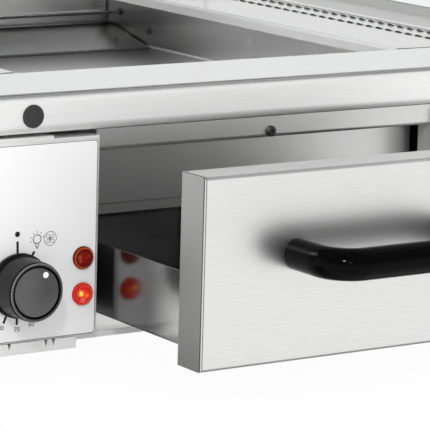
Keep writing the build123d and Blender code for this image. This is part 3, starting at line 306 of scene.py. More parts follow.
def new_finish(name, metallic=0.0, **constants):
    """A node material whose shader has its plain numbers set on its own sockets."""
    finish = bpy.data.materials.new(name)
    finish.use_nodes = True
    tree = finish.node_tree
    shader = tree.nodes["Principled BSDF"]
    shader.inputs["Metallic"].default_value = metallic
    for socket, value in constants.items():
        shader.inputs[socket.replace("_", " ")].default_value = value
    return finish, tree, shader


def stretched_noise(tree, scale, stretch, detail=3.0, roughness=0.55):
    """Noise on the object's own coordinates, drawn out along the axes with a small stretch value."""
    place = tree.nodes.new("ShaderNodeTexCoord")
    mapping = tree.nodes.new("ShaderNodeMapping")
    mapping.inputs["Scale"].default_value = stretch
    noise = add_node(tree, "ShaderNodeTexNoise", Scale=scale, Detail=detail, Roughness=roughness)
    tree.links.new(place.outputs["Object"], mapping.inputs["Vector"])
    tree.links.new(mapping.outputs["Vector"], noise.inputs["Vector"])
    return noise.outputs["Fac"]


ACROSS_LINES, ALONG_LINES = 1100.0, 60.0


def brushed_lines(tree, along):
    """The fine lines of a sheet that is brushed along X, Y or Z."""
    stretch = [ACROSS_LINES, ACROSS_LINES, ACROSS_LINES]
    stretch["XYZ".index(along)] = ALONG_LINES
    return stretched_noise(tree, 1.0, stretch, detail=2.0)


def ramped(tree, factor, stops):
    """A colour that runs through the stops, each a share of the way and a colour or a grey tone."""
    ramp = tree.nodes.new("ShaderNodeValToRGB")
    elements = ramp.color_ramp.elements
    while len(elements) < len(stops):
        elements.new(0.5)
    for element, (share, colour) in zip(elements, stops):
        element.position = share
        element.color = (*colour, 1) if isinstance(colour, tuple) else (colour, colour, colour, 1)
    tree.links.new(factor, ramp.inputs["Fac"])
    return ramp.outputs["Color"]


def blended_colour(tree, factor, dark, light):
    """A colour between dark and light."""
    return ramped(tree, factor, ((0.0, dark), (1.0, light)))


def coloured(tree, shader, factor, dark, light):
    """Colours the piece between dark and light."""
    tree.links.new(blended_colour(tree, factor, dark, light), shader.inputs["Base Color"])


def glossed(tree, shader, source, low, high):
    """Lets the middle of the source's range set the roughness between low and high."""
    tree.links.new(ranged(tree, source, low, high), shader.inputs["Roughness"])


def facing_axis(tree, axis, normal="True Normal"):
    """How far the surface faces along X, Y or Z. The True Normal leaves smoothing out."""
    facing = tree.nodes.new("ShaderNodeNewGeometry")
    parts = tree.nodes.new("ShaderNodeSeparateXYZ")
    tree.links.new(facing.outputs[normal], parts.inputs[0])
    return parts.outputs[axis]


def size_of(tree, value):
    """The value without its sign."""
    return sums(tree, "ABSOLUTE", value, 0.0)


def overlaid(tree, factor, under, over, way="MIX"):
    """One colour over another. The factor is a socket or 1, and the upper colour is a socket or a colour."""
    blend = tree.nodes.new("ShaderNodeMix")
    blend.data_type = "RGBA"
    blend.blend_type = way
    tree.links.new(under, blend.inputs["A"])
    if isinstance(factor, float):
        blend.inputs["Factor"].default_value = factor
    else:
        tree.links.new(factor, blend.inputs["Factor"])
    if isinstance(over, tuple):
        blend.inputs["B"].default_value = (*over, 1)
    else:
        tree.links.new(over, blend.inputs["B"])
    return blend.outputs["Result"]


def raised(tree, shader, source, strength, distance):
    """Lets the source raise the surface by a distance in metres."""
    bump = add_node(tree, "ShaderNodeBump", Strength=strength, Distance=distance)
    tree.links.new(source, bump.inputs["Height"])
    tree.links.new(bump.outputs["Normal"], shader.inputs["Normal"])


print("noise steps in a metre:", ACROSS_LINES, "across the brushed lines and", ALONG_LINES, "along them")

# %% Steel finishes


def steel(name, tone, roughness, along, scratch=0.06, swell=0.0, swell_size=14.0, metallic=1.0, shade=None):
    """Stainless steel brushed along one axis. scratch is the change of tone, swell the height of its waves.

    shade is (first Y, second Y, share at the first, share at the second), in metres and parts of the tone."""
    finish, tree, shader = new_finish(name, metallic=metallic)
    lines = brushed_lines(tree, along)
    clouds = stretched_noise(tree, 5.0, (1, 1, 1), detail=2.0)
    level = sums(tree, "MULTIPLY", ranged(tree, lines, 1 - scratch, 1.0), ranged(tree, clouds, 0.97, 1.0))
    level = ranged(tree, level, 0.0, 1.0, 0.8, 1.0)
    # shade paints shade into the tone: it gets darker from the first Y to the second.
    if shade:
        first, second, near_share, far_share = shade
        fade = ranged(tree, object_axis(tree, "Y"), near_share, far_share, first, second, smooth=True)
        level = sums(tree, "MULTIPLY", sums(tree, "ADD", sums(tree, "MULTIPLY", level, 0.2), 0.8), fade)
    dark = tuple((0.0 if shade else 0.8) * tone * part for part in (1.0, 1.0, 0.99))
    light = tuple(tone * part for part in (1.0, 1.0, 0.995))
    coloured(tree, shader, level, dark, light)
    glossed(tree, shader, lines, roughness - scratch / 2, roughness + scratch / 2)
    if swell:
        waves = stretched_noise(tree, swell_size, (1, 1, 1), detail=1.0)
        raised(tree, shader, waves, 1.0, swell)
    return finish


front_steel = steel("front_steel", 0.84, 0.30, "X", scratch=0.02)
side_steel = steel("side_steel", 0.78, 0.34, "Y", scratch=0.04)
deck_steel = steel("deck_steel", 0.78, 0.24, "X", scratch=0.02)
bay_steel = steel("bay_steel", 0.78, 0.36, "X", scratch=0.02)
# WELL_SHADE is painted shade on the well: its tone falls to 0.28 of itself from 0.10 m to 0.24 m along Y.
WELL_SHADE = (0.10, 0.24, 1.0, 0.28)
well_steel = steel(
    "well_steel", 0.80, 0.30, "Y", scratch=0.02, swell=0.0005, swell_size=11.0, shade=WELL_SHADE
)
baffle_steel = steel("baffle_steel", 0.34, 0.22, "Y", scratch=0.02, swell=0.0004, swell_size=16.0)
base_steel = steel("base_steel", 0.90, 0.42, "X", scratch=0.03, metallic=0.3)
strip_steel = steel("strip_steel", 0.94, 0.32, "X", scratch=0.03, metallic=0.3)
panel_steel = steel("panel_steel", 0.90, 0.32, "X", scratch=0.04, metallic=0.55)
print("the well's shade runs from", WELL_SHADE[0], "to", WELL_SHADE[1], "m along Y")

# %% [markdown]
# The tray's wall is bright next to the drawer's front and dark further in, and its floor is dark all over.
# Both are painted shade: a tone that falls off backwards darkens the wall, and a low tone darkens the floor.
# The way a face looks tells the wall from the floor.

# %% Tray finish
tray_steel, tray_tree, tray_shader = new_finish("tray_steel", metallic=1.0)
wall = ranged(tray_tree, size_of(tray_tree, facing_axis(tray_tree, "X")), 0.0, 1.0, 0.4, 0.6)
FADE_END = tray_low.y + 0.5 * (PANEL_FACE - tray_low.y)
towards_back = ranged(tray_tree, object_axis(tray_tree, "Y"), 0.0, 1.0, tray_low.y, FADE_END, smooth=True)
tray_lines = brushed_lines(tray_tree, "Y")
WALL_SHADE_DEPTH, FLOOR_SHADE_DEPTH = 0.95, 0.62
# Painted shade: the wall darkens further back, and the floor is darkened all over.
wall_painted_shade = sums(tray_tree, "MULTIPLY", wall, sums(tray_tree, "MULTIPLY", towards_back, WALL_SHADE_DEPTH))
floor_painted_shade = sums(tray_tree, "MULTIPLY", sums(tray_tree, "SUBTRACT", 1.0, wall), FLOOR_SHADE_DEPTH)
tray_painted_shade = sums(tray_tree, "ADD", wall_painted_shade, floor_painted_shade)
tray_level = sums(tray_tree, "ADD", tray_painted_shade, ranged(tray_tree, tray_lines, 0.0, 0.03))
coloured(tray_tree, tray_shader, tray_level, (0.86, 0.86, 0.855), (0.14, 0.14, 0.14))
glossed(tray_tree, tray_shader, tray_lines, 0.15, 0.16)
print("the tray's wall fades until", round(FADE_END, 3), "m along Y")

# %% [markdown]
# The ledge on top is smooth, and the rounded rail before it is brushed, which spreads what it mirrors. They
# are one sheet, so one finish goes from the first to the second as the surface turns away from straight up.
# The rail is also given a paler colour than the ledge: that is painted light.

# %% Ledge finish
ledge_steel, ledge_tree, ledge_shader = new_finish("ledge_steel", metallic=1.0)
rail = ranged(ledge_tree, facing_axis(ledge_tree, "Z", "Normal"), 1.0, 0.0, 0.35, 0.75, smooth=True)
ledge_lines = brushed_lines(ledge_tree, "X")
ledge_tone = ranged(ledge_tree, ledge_lines, 0.0, 0.2)
# rail times 0.8 makes the forward-facing rail paler than the ledge: painted light.
ledge_level = sums(ledge_tree, "ADD", sums(ledge_tree, "MULTIPLY", rail, 0.8), ledge_tone)
coloured(ledge_tree, ledge_shader, ledge_level, (0.78, 0.78, 0.78), (0.97, 0.97, 0.965))
ledge_tree.links.new(ranged(ledge_tree, rail, 0.17, 0.48, 0.0, 1.0), ledge_shader.inputs["Roughness"])
ledge_tree.links.new(ranged(ledge_tree, rail, 1.0, 0.6, 0.0, 1.0), ledge_shader.inputs["Metallic"])
print("steel finishes:", len([m for m in bpy.data.materials if m.name.endswith("_steel")]))

# %% [markdown]
# The drawer's front is brushed, and the narrow sides that were folded back from it reflect less sharply. One
# finish serves the whole sheet: the distance from its two ends decides which of the two it shows. Next to a
# fold the sheet shows two fine dark lines with a bright ridge between them, so the colour goes through a
# short ramp there. The dark lines are painted shade of the bend.

# %% Drawer finish
drawer_steel, drawer_tree, drawer_shader = new_finish("drawer_steel", metallic=1.0)
drawer_low, drawer_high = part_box("drawer_front")
outwards = size_of(drawer_tree, object_axis(drawer_tree, "X"))
folded = ranged(drawer_tree, outwards, 0.0, 1.0, drawer_high.x - 0.0004, drawer_high.x - 0.0001)
drawer_lines = brushed_lines(drawer_tree, "X")
drawer_level = ranged(drawer_tree, drawer_lines, 0.0, 1.0)
brushed_colour = blended_colour(drawer_tree, drawer_level, (0.80, 0.80, 0.795), (0.85, 0.85, 0.845))
FOLD_LINES = 0.004
from_end = ranged(drawer_tree, outwards, 0.0, 1.0, drawer_high.x, drawer_high.x - FOLD_LINES)
# Painted shade: two dark lines beside each fold, with the plain colour between them.
fold_shade_tones = (
    (0.0, 0.55), (0.03, 0.55), (0.05, 0.16), (0.15, 0.16), (0.18, 1.0),
    (0.30, 1.0), (0.33, 0.3), (0.46, 0.3), (0.5, 1.0),
)
fold_shade_colour = ramped(drawer_tree, from_end, fold_shade_tones)
drawer_colour = overlaid(drawer_tree, 1.0, brushed_colour, fold_shade_colour, way="MULTIPLY")
drawer_tree.links.new(drawer_colour, drawer_shader.inputs["Base Color"])
brushed_gloss = ranged(drawer_tree, drawer_lines, 0.295, 0.305)
drawer_gloss = sums(drawer_tree, "MAXIMUM", brushed_gloss, sums(drawer_tree, "MULTIPLY", folded, 0.5))
drawer_tree.links.new(drawer_gloss, drawer_shader.inputs["Roughness"])
print("fold lines within", FOLD_LINES * 1000, "mm of the drawer's ends")

# %% [markdown]
# The side plates are folded sheets too. A fold is a tight round edge that always mirrors some light, so
# thin white lines run along the well's hem and the outer step. The round is narrower than a pixel, so the
# finish draws the lines. Here too the distance from the middle of the counter tells where the folds are.

# %% Plate finish
plate_steel, plate_tree, plate_shader = new_finish("plate_steel", metallic=1.0, Roughness=0.22)
from_middle = size_of(plate_tree, object_axis(plate_tree, "X"))


def near_fold(x, half_width):
    """1 on a line along Y at a distance x from the counter's middle, and 0 away from it."""
    away = size_of(plate_tree, sums(plate_tree, "SUBTRACT", from_middle, x))
    return ranged(plate_tree, away, 1.0, 0.0, half_width * 0.6, half_width)


HEM_FOLD, STEP_FOLD = 0.1516, 0.2406
bright_folds = sums(plate_tree, "MAXIMUM", near_fold(HEM_FOLD, 0.0011), near_fold(STEP_FOLD, 0.0010))
plate_lines = brushed_lines(plate_tree, "Y")
plate_level = ranged(plate_tree, plate_lines, 0.0, 1.0)
plate_colour = blended_colour(plate_tree, plate_level, (0.73, 0.73, 0.725), (0.8, 0.8, 0.795))
plate_colour = overlaid(plate_tree, bright_folds, plate_colour, (0.96, 0.96, 0.96))
plate_tree.links.new(plate_colour, plate_shader.inputs["Base Color"])
plate_tree.links.new(ranged(plate_tree, bright_folds, 1.0, 0.15, 0.0, 1.0), plate_shader.inputs["Metallic"])
glossed(plate_tree, plate_shader, plate_lines, 0.20, 0.25)
print("bright folds at", HEM_FOLD, "and", STEP_FOLD)

# %% [markdown]
# ## Plastics, rubber, ink and enamel
#
# Moulded plastic isn't a flat colour either: the mould leaves a fine grain, and the gloss varies a little
# over the piece. One helper makes these finishes from a colour, a gloss and a grain. The glossy handle and
# the overlay get no grain, while the rubber feet and the plugs get the most.

# %% Plastic finishes


def moulded(name, colour, roughness, grain=0.1, specular=0.5, metallic=0.0, coat=0.0, mottle=0.11):
    """Moulded or painted material with a fine grain. mottle is how far its tone varies over the piece."""
    finish, tree, shader = new_finish(name, metallic=metallic, Specular_IOR_Level=specular, Coat_Weight=coat)
    grains = stretched_noise(tree, 1200.0, (1, 1, 1), detail=2.0)
    clouds = stretched_noise(tree, 30.0, (1, 1, 1), detail=2.0)
    dark = tuple(part * (1 - mottle) for part in colour)
    light = tuple(min(1.0, part * (1 + mottle)) for part in colour)
    coloured(tree, shader, ranged(tree, clouds, 0.0, 1.0), dark, light)
    glossed(tree, shader, grains, max(0.02, roughness - 0.04), roughness + 0.05)
    if grain:
        raised(tree, shader, grains, grain, 0.00003)
    return finish


handle_gloss = moulded("handle_gloss", (0.0008, 0.0008, 0.0008), 0.07, grain=0.0)
handle_gloss.node_tree.nodes["Principled BSDF"].inputs["IOR"].default_value = 1.16
plug_black = moulded("plug_black", (0.04, 0.04, 0.04), 0.55, grain=0.6, specular=0.2)
foot_rubber = moulded("foot_rubber", (0.02, 0.02, 0.02), 0.7, grain=0.4, specular=0.3)
housing_black = moulded("housing_black", (0.02, 0.02, 0.02), 0.5, grain=0.3)
glide_white = moulded("glide_white", (0.75, 0.75, 0.72), 0.45, grain=0.15)
ceramic_white = moulded("ceramic_white", (0.78, 0.75, 0.68), 0.6, grain=0.25)
printed_black = moulded("printed_black", (0.012, 0.012, 0.012), 0.5, grain=0.1, specular=0.3)
# Grey ink for the signs, and also painted shade along the overlay's edge.
grey_ink_and_edge_shade = moulded("grey_ink_and_edge_shade", (0.16, 0.16, 0.165), 0.5, grain=0.1)
dot_white = moulded("dot_white", (0.9, 0.9, 0.9), 0.5, grain=0.1)
overlay_silver = moulded(
    "overlay_silver", (0.89, 0.89, 0.89), 0.36, grain=0.0, specular=0.3, metallic=0.1, mottle=0.008
)
motor_enamel = moulded("motor_enamel", (0.03, 0.03, 0.035), 0.35, grain=0.2, coat=0.3)
screw_dark = moulded("screw_dark", (0.10, 0.10, 0.10), 0.35, grain=0.2, metallic=1.0)
screw_bright = moulded("screw_bright", (0.6, 0.6, 0.6), 0.25, grain=0.2, metallic=1.0)
heater_tube = moulded("heater_tube", (0.20, 0.18, 0.165), 0.4, grain=0.3, metallic=1.0)
fan_aluminium = moulded("fan_aluminium", (0.66, 0.66, 0.68), 0.35, grain=0.3, metallic=1.0)
print("finishes so far:", len(bpy.data.materials))

# %% [markdown]
# The disc on the knob's face is turned, not moulded smooth: it has very fine rings that make a soft sheen.
# Rings are a wave texture around the disc's centre, which a mapping moves to the middle of the knob. The
# ridges around the disc catch light along edges that are finer than a pixel, so the knob's black is made
# paler on them, with a ramp over the distance from the same centre.

# %% Knob disc finish
KNOB_X, KNOB_Z = -58.0, 37.0
KNOB_PLACE = at_panel(KNOB_X, 0.0, KNOB_Z)
disc_grey, disc_tree, disc_shader = new_finish("disc_grey", Specular_IOR_Level=0.4)
disc_place = disc_tree.nodes.new("ShaderNodeTexCoord")
disc_centre = disc_tree.nodes.new("ShaderNodeMapping")
disc_centre.vector_type = "POINT"
disc_centre.inputs["Location"].default_value = (-KNOB_PLACE.x, 0.0, -KNOB_PLACE.z)
disc_rings = add_node(disc_tree, "ShaderNodeTexWave", Scale=900.0, Distortion=0.0)
disc_rings.wave_type = "RINGS"
disc_rings.rings_direction = "Y"
disc_clouds = stretched_noise(disc_tree, 28.0, (1, 1, 1), detail=1.0)
disc_tree.links.new(disc_place.outputs["Object"], disc_centre.inputs["Vector"])
disc_tree.links.new(disc_centre.outputs["Vector"], disc_rings.inputs["Vector"])
disc_level = ranged(disc_tree, disc_clouds, 0.0, 1.0)
coloured(disc_tree, disc_shader, disc_level, (0.06, 0.06, 0.06), (0.115, 0.115, 0.115))
disc_tree.links.new(
    ranged(disc_tree, disc_rings.outputs["Fac"], 0.42, 0.55, 0.0, 1.0), disc_shader.inputs["Roughness"]
)
raised(disc_tree, disc_shader, disc_rings.outputs["Fac"], 0.2, 0.00002)

knob_black, knob_tree, knob_shader = new_finish("knob_black", Specular_IOR_Level=0.08)
knob_place = knob_tree.nodes.new("ShaderNodeTexCoord")
knob_flat = knob_tree.nodes.new("ShaderNodeMapping")
knob_flat.inputs["Location"].default_value = (-KNOB_PLACE.x, 0.0, -KNOB_PLACE.z)
knob_flat.inputs["Scale"].default_value = (1.0, 0.0, 1.0)
knob_tree.links.new(knob_place.outputs["Object"], knob_flat.inputs["Vector"])
from_axis = knob_tree.nodes.new("ShaderNodeVectorMath")
from_axis.operation = "LENGTH"
knob_tree.links.new(knob_flat.outputs["Vector"], from_axis.inputs[0])
RIDGES_START, RIDGES_END = 0.016, 0.019
across_ridges = ranged(knob_tree, from_axis.outputs["Value"], 0.0, 1.0, RIDGES_START, RIDGES_END)
ridge_tones = (
    (0.0, 0.002), (0.30, 0.002), (0.34, 0.16), (0.44, 0.16), (0.48, 0.002), (0.57, 0.002), (0.61, 0.26),
    (0.71, 0.26), (0.75, 0.003), (0.87, 0.003), (0.92, 0.02), (0.96, 0.02), (1.0, 0.004),
)
knob_tree.links.new(ramped(knob_tree, across_ridges, ridge_tones), knob_shader.inputs["Base Color"])
knob_grain = stretched_noise(knob_tree, 1200.0, (1, 1, 1), detail=2.0)
glossed(knob_tree, knob_shader, knob_grain, 0.26, 0.34)
print("knob centre", [round(value, 4) for value in KNOB_PLACE])

# %% [markdown]
# ## Glass and the lit lenses
#
# Toughened glass is clear with a slightly grey body, and it has a thin film of wiping marks, which a noise
# puts into its roughness. The pilot lamps are clear red plastic over a small bulb. A real lens is a set of
# rings, and the bulb behind it shows as spots that are off the middle, so its colour is made from both:
# bands over the distance from the lens's middle, and soft spots laid over them. On the lit lens these come
# from its own bulb. On the unlit lens the bands and spots are painted light and shade: reflections in its
# rings and on the dark bulb behind. Both lenses get a weak glow. A real unlit lens has none, but without it
# this one would turn nearly black.

# %% Glass finishes


def clear(name, tint, roughness, transmission=1.0):
    """Clear or frosted glass with faint wiping marks."""
    finish, tree, shader = new_finish(name, Transmission_Weight=transmission, IOR=1.45)
    smears = stretched_noise(tree, 14.0, (1, 0.4, 1), detail=3.0)
    darker = tuple(part * 0.985 for part in tint)
    coloured(tree, shader, smears, darker, tint)
    glossed(tree, shader, smears, roughness, roughness + 0.02)
    return finish


pane_glass = clear("pane_glass", (0.93, 0.938, 0.935), 0.0)
frosted_cover = clear("frosted_cover", (0.92, 0.92, 0.90), 0.45, transmission=0.7)
tube_glass = clear("tube_glass", (0.98, 0.95, 0.88), 0.3, transmission=0.3)


def lens_finish(name, centre, bands, spots, strength):
    """Red lens plastic. bands colours its rings from the middle outwards, spots adds soft glows over them."""
    finish, tree, shader = new_finish(name, Specular_IOR_Level=0.22)
    place = tree.nodes.new("ShaderNodeTexCoord")
    flat = tree.nodes.new("ShaderNodeMapping")
    flat.inputs["Location"].default_value = (-centre.x, 0.0, -centre.z)
    flat.inputs["Scale"].default_value = (1.0, 0.0, 1.0)
    tree.links.new(place.outputs["Object"], flat.inputs["Vector"])

    def distance_from(x, z):
        away = tree.nodes.new("ShaderNodeVectorMath")
        away.operation = "DISTANCE"
        away.inputs[1].default_value = (x * MM, 0.0, z * MM)
        tree.links.new(flat.outputs["Vector"], away.inputs[0])
        return away.outputs["Value"]

    outward = ranged(tree, distance_from(0, 0), 0.0, 1.0, 0.0, LENS_RADIUS * MM)
    colour = ramped(tree, outward, bands)
    facets = stretched_noise(tree, 900.0, (1, 1, 0.6), detail=1.0)
    for x, z, reach, glow in spots:
        nearness = ranged(tree, distance_from(x, z), 1.0, 0.0, 0.0, reach * MM, smooth=True)
        nearness = sums(tree, "MULTIPLY", nearness, ranged(tree, facets, 0.35, 1.0))
        colour = overlaid(tree, nearness, colour, glow)
    tree.links.new(colour, shader.inputs["Base Color"])
    tree.links.new(colour, shader.inputs["Emission Color"])
    shader.inputs["Emission Strength"].default_value = strength
    glossed(tree, shader, facets, 0.08, 0.16)
    raised(tree, shader, facets, 0.4, 0.00008)
    return finish


LENS_RADIUS = 7.3
LOWER_LAMP = at_panel(-11.4, 0.0, 27.0)
UPPER_LAMP = at_panel(-11.4, 0.0, 50.2)
lit_bands = [
    (0.0, (0.66, 0.03, 0.02)), (0.5, (0.60, 0.015, 0.01)), (0.62, (0.34, 0.008, 0.006)),
    (0.70, (0.66, 0.06, 0.04)), (0.80, (0.38, 0.008, 0.006)), (0.91, (0.66, 0.04, 0.025)),
    (1.0, (0.22, 0.006, 0.006)),
]
lit_spots = [
    (1.8, -0.8, 2.4, (0.95, 0.22, 0.02)), (-1.0, -3.6, 2.6, (0.80, 0.16, 0.16)),
    (-2.3, 0.8, 2.8, (1.0, 0.95, 0.15)),
]
lens_lit = lens_finish("lens_lit", LOWER_LAMP, lit_bands, lit_spots, 0.35)
# The unlit lens's bands and spots are painted light and shade: reflections in its rings and on the dark bulb.
unlit_shade_and_reflection_bands = [
    (0.0, (0.17, 0.006, 0.002)), (0.6, (0.12, 0.004, 0.002)), (0.72, (0.04, 0.002, 0.001)),
    (0.79, (0.12, 0.008, 0.003)), (0.85, (0.46, 0.065, 0.007)), (0.89, (0.36, 0.045, 0.006)),
    (0.94, (0.12, 0.008, 0.003)), (1.0, (0.05, 0.004, 0.002)),
]
unlit_painted_reflections = [
    (-3.6, 0.8, 2.2, (0.34, 0.08, 0.04)), (-3.2, -1.6, 1.8, (0.28, 0.05, 0.03)),
    (2.6, 1.4, 1.8, (0.26, 0.025, 0.006)),
]
lens_dark = lens_finish("lens_dark", UPPER_LAMP, unlit_shade_and_reflection_bands, unlit_painted_reflections, 0.3)
print("lamps at", [round(v, 4) for v in LOWER_LAMP], [round(v, 4) for v in UPPER_LAMP])

# %% [markdown]
# ## Dressing the model's own pieces
#
# Most of the model's pieces keep their shape, so a finish is all they need. A table of names and finishes
# is easier to check than dozens of lines, and the last print shows that no piece was forgotten.

# %% Give each piece its finish
finish_groups = (
    (foot_rubber, "feet"),
    (screw_bright, (
        "foot_studs thermostat_nut knob_shaft handle_screws tray_rivets heater_mounts fan_shaft "
        "hinge_pins grip_bolts"
    )),
    (base_steel, "base_tray"),
    (strip_steel, "under_rails"),
    (side_steel, "side_casings"),
    (ledge_steel, "front_deck"),
    (front_steel, "rail_end_caps drawer_liner glass_channels canopy hood_posts flap_clamps flap_grip"),
    (plug_black, "rail_plugs"),
    (bay_steel, "screw_band partitions runners plenum_tray plenum_wall air_duct_lip"),
    (screw_dark, "band_screw basin_screws"),
    (panel_steel, "control_panel blank_panel"),
    (overlay_silver, "panel_foil"),
    (housing_black, "thermostat lamp_bodies cable_gland"),
    (knob_black, "knob_body"),
    (disc_grey, "knob_disc"),
    (lens_lit, "lamp_lens_lower"),
    (lens_dark, "lamp_lens_upper"),
    (glide_white, "tray_glides lamp_holders"),
    (drawer_steel, "drawer_front"),
    (tray_steel, "drawer_tray"),
    (handle_gloss, "drawer_handle"),
    (heater_tube, "heating_element"),
    (motor_enamel, "fan_motor"),
    (fan_aluminium, "fan_impeller"),
    (well_steel, "well_basin"),
    (baffle_steel, "air_baffle"),
    (deck_steel, "rear_casing"),
    (ceramic_white, "terminal_block safety_cutout"),
    (plate_steel, "slotted_plates"),
    (pane_glass, "side_glasses front_glass flap_glass"),
    (frosted_cover, "lamp_cover"),
    (tube_glass, "lamp_tube"),
)
finishes = {piece: finish for finish, pieces in finish_groups for piece in pieces.split()}
for name, node in nodes.items():
    node.data.materials.clear()
    node.data.materials.append(finishes[name])
print("dressed", len(nodes), "of", len(finishes))

# %% [markdown]
# ## The printed dial
#
# Dial marks are ink, a hair thick, printed on the overlay. A flat strip in the air would do for one
# picture, but the overlay is a real sheet, so each mark is a thin tile that lies on it. A tile starts as a
# plane, is stretched to its length, has its corners rounded, and is extruded towards the operator.

# %% Tiles of ink
OVERLAY_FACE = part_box("panel_foil")[0].y
INK = 0.00006


def pick_none():
    bpy.ops.object.select_all(action="DESELECT")


def start_piece(name):
    """Names the new primitive and opens it with everything selected."""
    piece = bpy.context.object
    piece.name = name
    piece.data.name = name
    bpy.ops.object.mode_set(mode="EDIT")
    bpy.ops.mesh.select_all(action="SELECT")
    return piece


def close_piece(piece, finish, smooth_angle=35.0):
    """Leaves edit mode with outward faces, puts the piece's place into its mesh and gives it a finish."""
    bpy.ops.mesh.select_all(action="SELECT")
    bpy.ops.mesh.normals_make_consistent(inside=False)
    bpy.ops.object.mode_set(mode="OBJECT")
    pick_none()
    piece.select_set(True)
    bpy.context.view_layer.objects.active = piece
    bpy.ops.object.transform_apply(location=True, rotation=True, scale=True)
    bpy.ops.object.shade_smooth_by_angle(angle=math.radians(smooth_angle))
    piece.data.materials.clear()
    piece.data.materials.append(finish)
    return piece


def ink_strip(start, end, width, finish):
    """A strip of ink from start to end, both in mm on the panel, width in mm."""
    first, last = at_panel(start[0], 0, start[1]), at_panel(end[0], 0, end[1])
    middle, run = (first + last) / 2, last - first
    pick_none()
    bpy.ops.mesh.primitive_plane_add(size=1.0, location=(middle.x, OVERLAY_FACE, middle.z))
    strip = start_piece("ink_strip")
    bpy.ops.transform.resize(value=(run.length, width * MM, 1.0))
    bpy.ops.mesh.bevel(offset=width * MM * 0.3, segments=2, affect="VERTICES")
    bpy.ops.mesh.extrude_region_move(TRANSFORM_OT_translate={"value": (0, 0, INK)})
    bpy.ops.object.mode_set(mode="OBJECT")
    lean = math.atan2(run.z, run.x)
    strip.rotation_euler = (Matrix.Rotation(-lean, 3, "Y") @ Matrix.Rotation(math.pi / 2, 3, "X")).to_euler()
    bpy.ops.object.mode_set(mode="EDIT")
    return close_piece(strip, finish)


def ink_disc(centre, radius, finish, hole=0.0, sides=40):
    """A dot of ink, or a ring if hole is given, in mm on the panel."""
    place = at_panel(centre[0], 0, centre[1])
    pick_none()
    bpy.ops.mesh.primitive_circle_add(
        vertices=sides, radius=radius * MM, fill_type="NGON",
        location=(place.x, OVERLAY_FACE, place.z), rotation=(math.pi / 2, 0, 0),
    )
    dot = start_piece("ink_disc")
    if hole:
        bpy.ops.mesh.inset(thickness=(radius - hole) * MM)
        bpy.ops.mesh.delete(type="FACE")
        bpy.ops.mesh.select_all(action="SELECT")
    bpy.ops.mesh.extrude_region_move(TRANSFORM_OT_translate={"value": (0, -INK, 0)})
    return close_piece(dot, finish)


def joined(name, parts, body):
    """Several small pieces made one, riding on a body."""
    pick_none()
    for part in parts:
        part.select_set(True)
    bpy.context.view_layer.objects.active = parts[0]
    bpy.ops.object.join()
    whole = bpy.context.object
    whole.name = name
    whole.data.name = name
    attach(whole, body)
    return whole


print("ink is", INK * 1000, "mm thick")

# %% [markdown]
# The dial is read from the knob's white dot. Off is straight up, light and fan come next at 30 degrees, and
# the temperatures follow clockwise. The angles are close to those of the real dial, and the radii put the
# temperatures' marks just outside the knob's skirt.

# %% Dial marks


def dial_point(degrees, radius):
    """A point on the dial, clockwise from the top, in mm on the panel."""
    angle = math.radians(degrees)
    return KNOB_X + radius * math.sin(angle), KNOB_Z + radius * math.cos(angle)


dial = [
    ink_disc((-58.4, 69.0), 1.75, printed_black),
    ink_strip((-58.3, 64.6), (-58.1, 56.4), 1.6, printed_black),
    ink_strip((-46.1, 57.2), (-48.4, 53.8), 1.6, printed_black),
]
for degrees in (158, 180, 202, 224):
    dial.append(ink_strip(dial_point(degrees, 20.6), dial_point(degrees, 25.4), 1.6, printed_black))
dial_marks = joined("dial_marks", dial, "root")
print("dial marks:", len(dial), "faces:", len(dial_marks.data.polygons))

# %% [markdown]
# Numbers are text objects that are turned into meshes. Each one stands just outside the mark that it
# belongs to. The text is set upright on the panel, given the thickness of ink, and then made a mesh before
# its place is applied.

# %% Dial numbers


def ink_text(words, place, height, finish):
    """Plain figures centred on a place in mm on the panel."""
    pick_none()
    spot = at_panel(place[0], 0, place[1])
    bpy.ops.object.text_add(location=(spot.x, OVERLAY_FACE - INK / 2, spot.z), rotation=(math.pi / 2, 0, 0))
    text = bpy.context.object
    text.data.body = words
    text.data.size = height * MM * 1.4
    text.data.extrude = INK / 2
    text.data.resolution_u = 4
    text.data.align_x = "CENTER"
    text.data.align_y = "CENTER"
    bpy.ops.object.convert(target="MESH")
    figures = bpy.context.object
    bpy.ops.object.mode_set(mode="EDIT")
    bpy.ops.mesh.select_all(action="SELECT")
    bpy.ops.mesh.remove_doubles(threshold=0.000001)
    return close_piece(figures, finish)


figures = [
    ink_text("60", (-47.6, 11.0), 3.0, printed_black),
    ink_text("70", (-57.9, 8.6), 3.0, printed_black),
    ink_text("80", (-69.2, 10.6), 3.0, printed_black),
    ink_text("90", (-79.0, 17.2), 3.0, printed_black),
]
dial_figures = joined("dial_figures", figures, "root")
print("figures:", len(figures), "faces:", len(dial_figures.data.polygons))

# %% [markdown]
# Two small signs sit over the 30 degree mark: a light bulb and a fan. They are drawn with the same strips
# and rings, thinner and greyer than the marks.

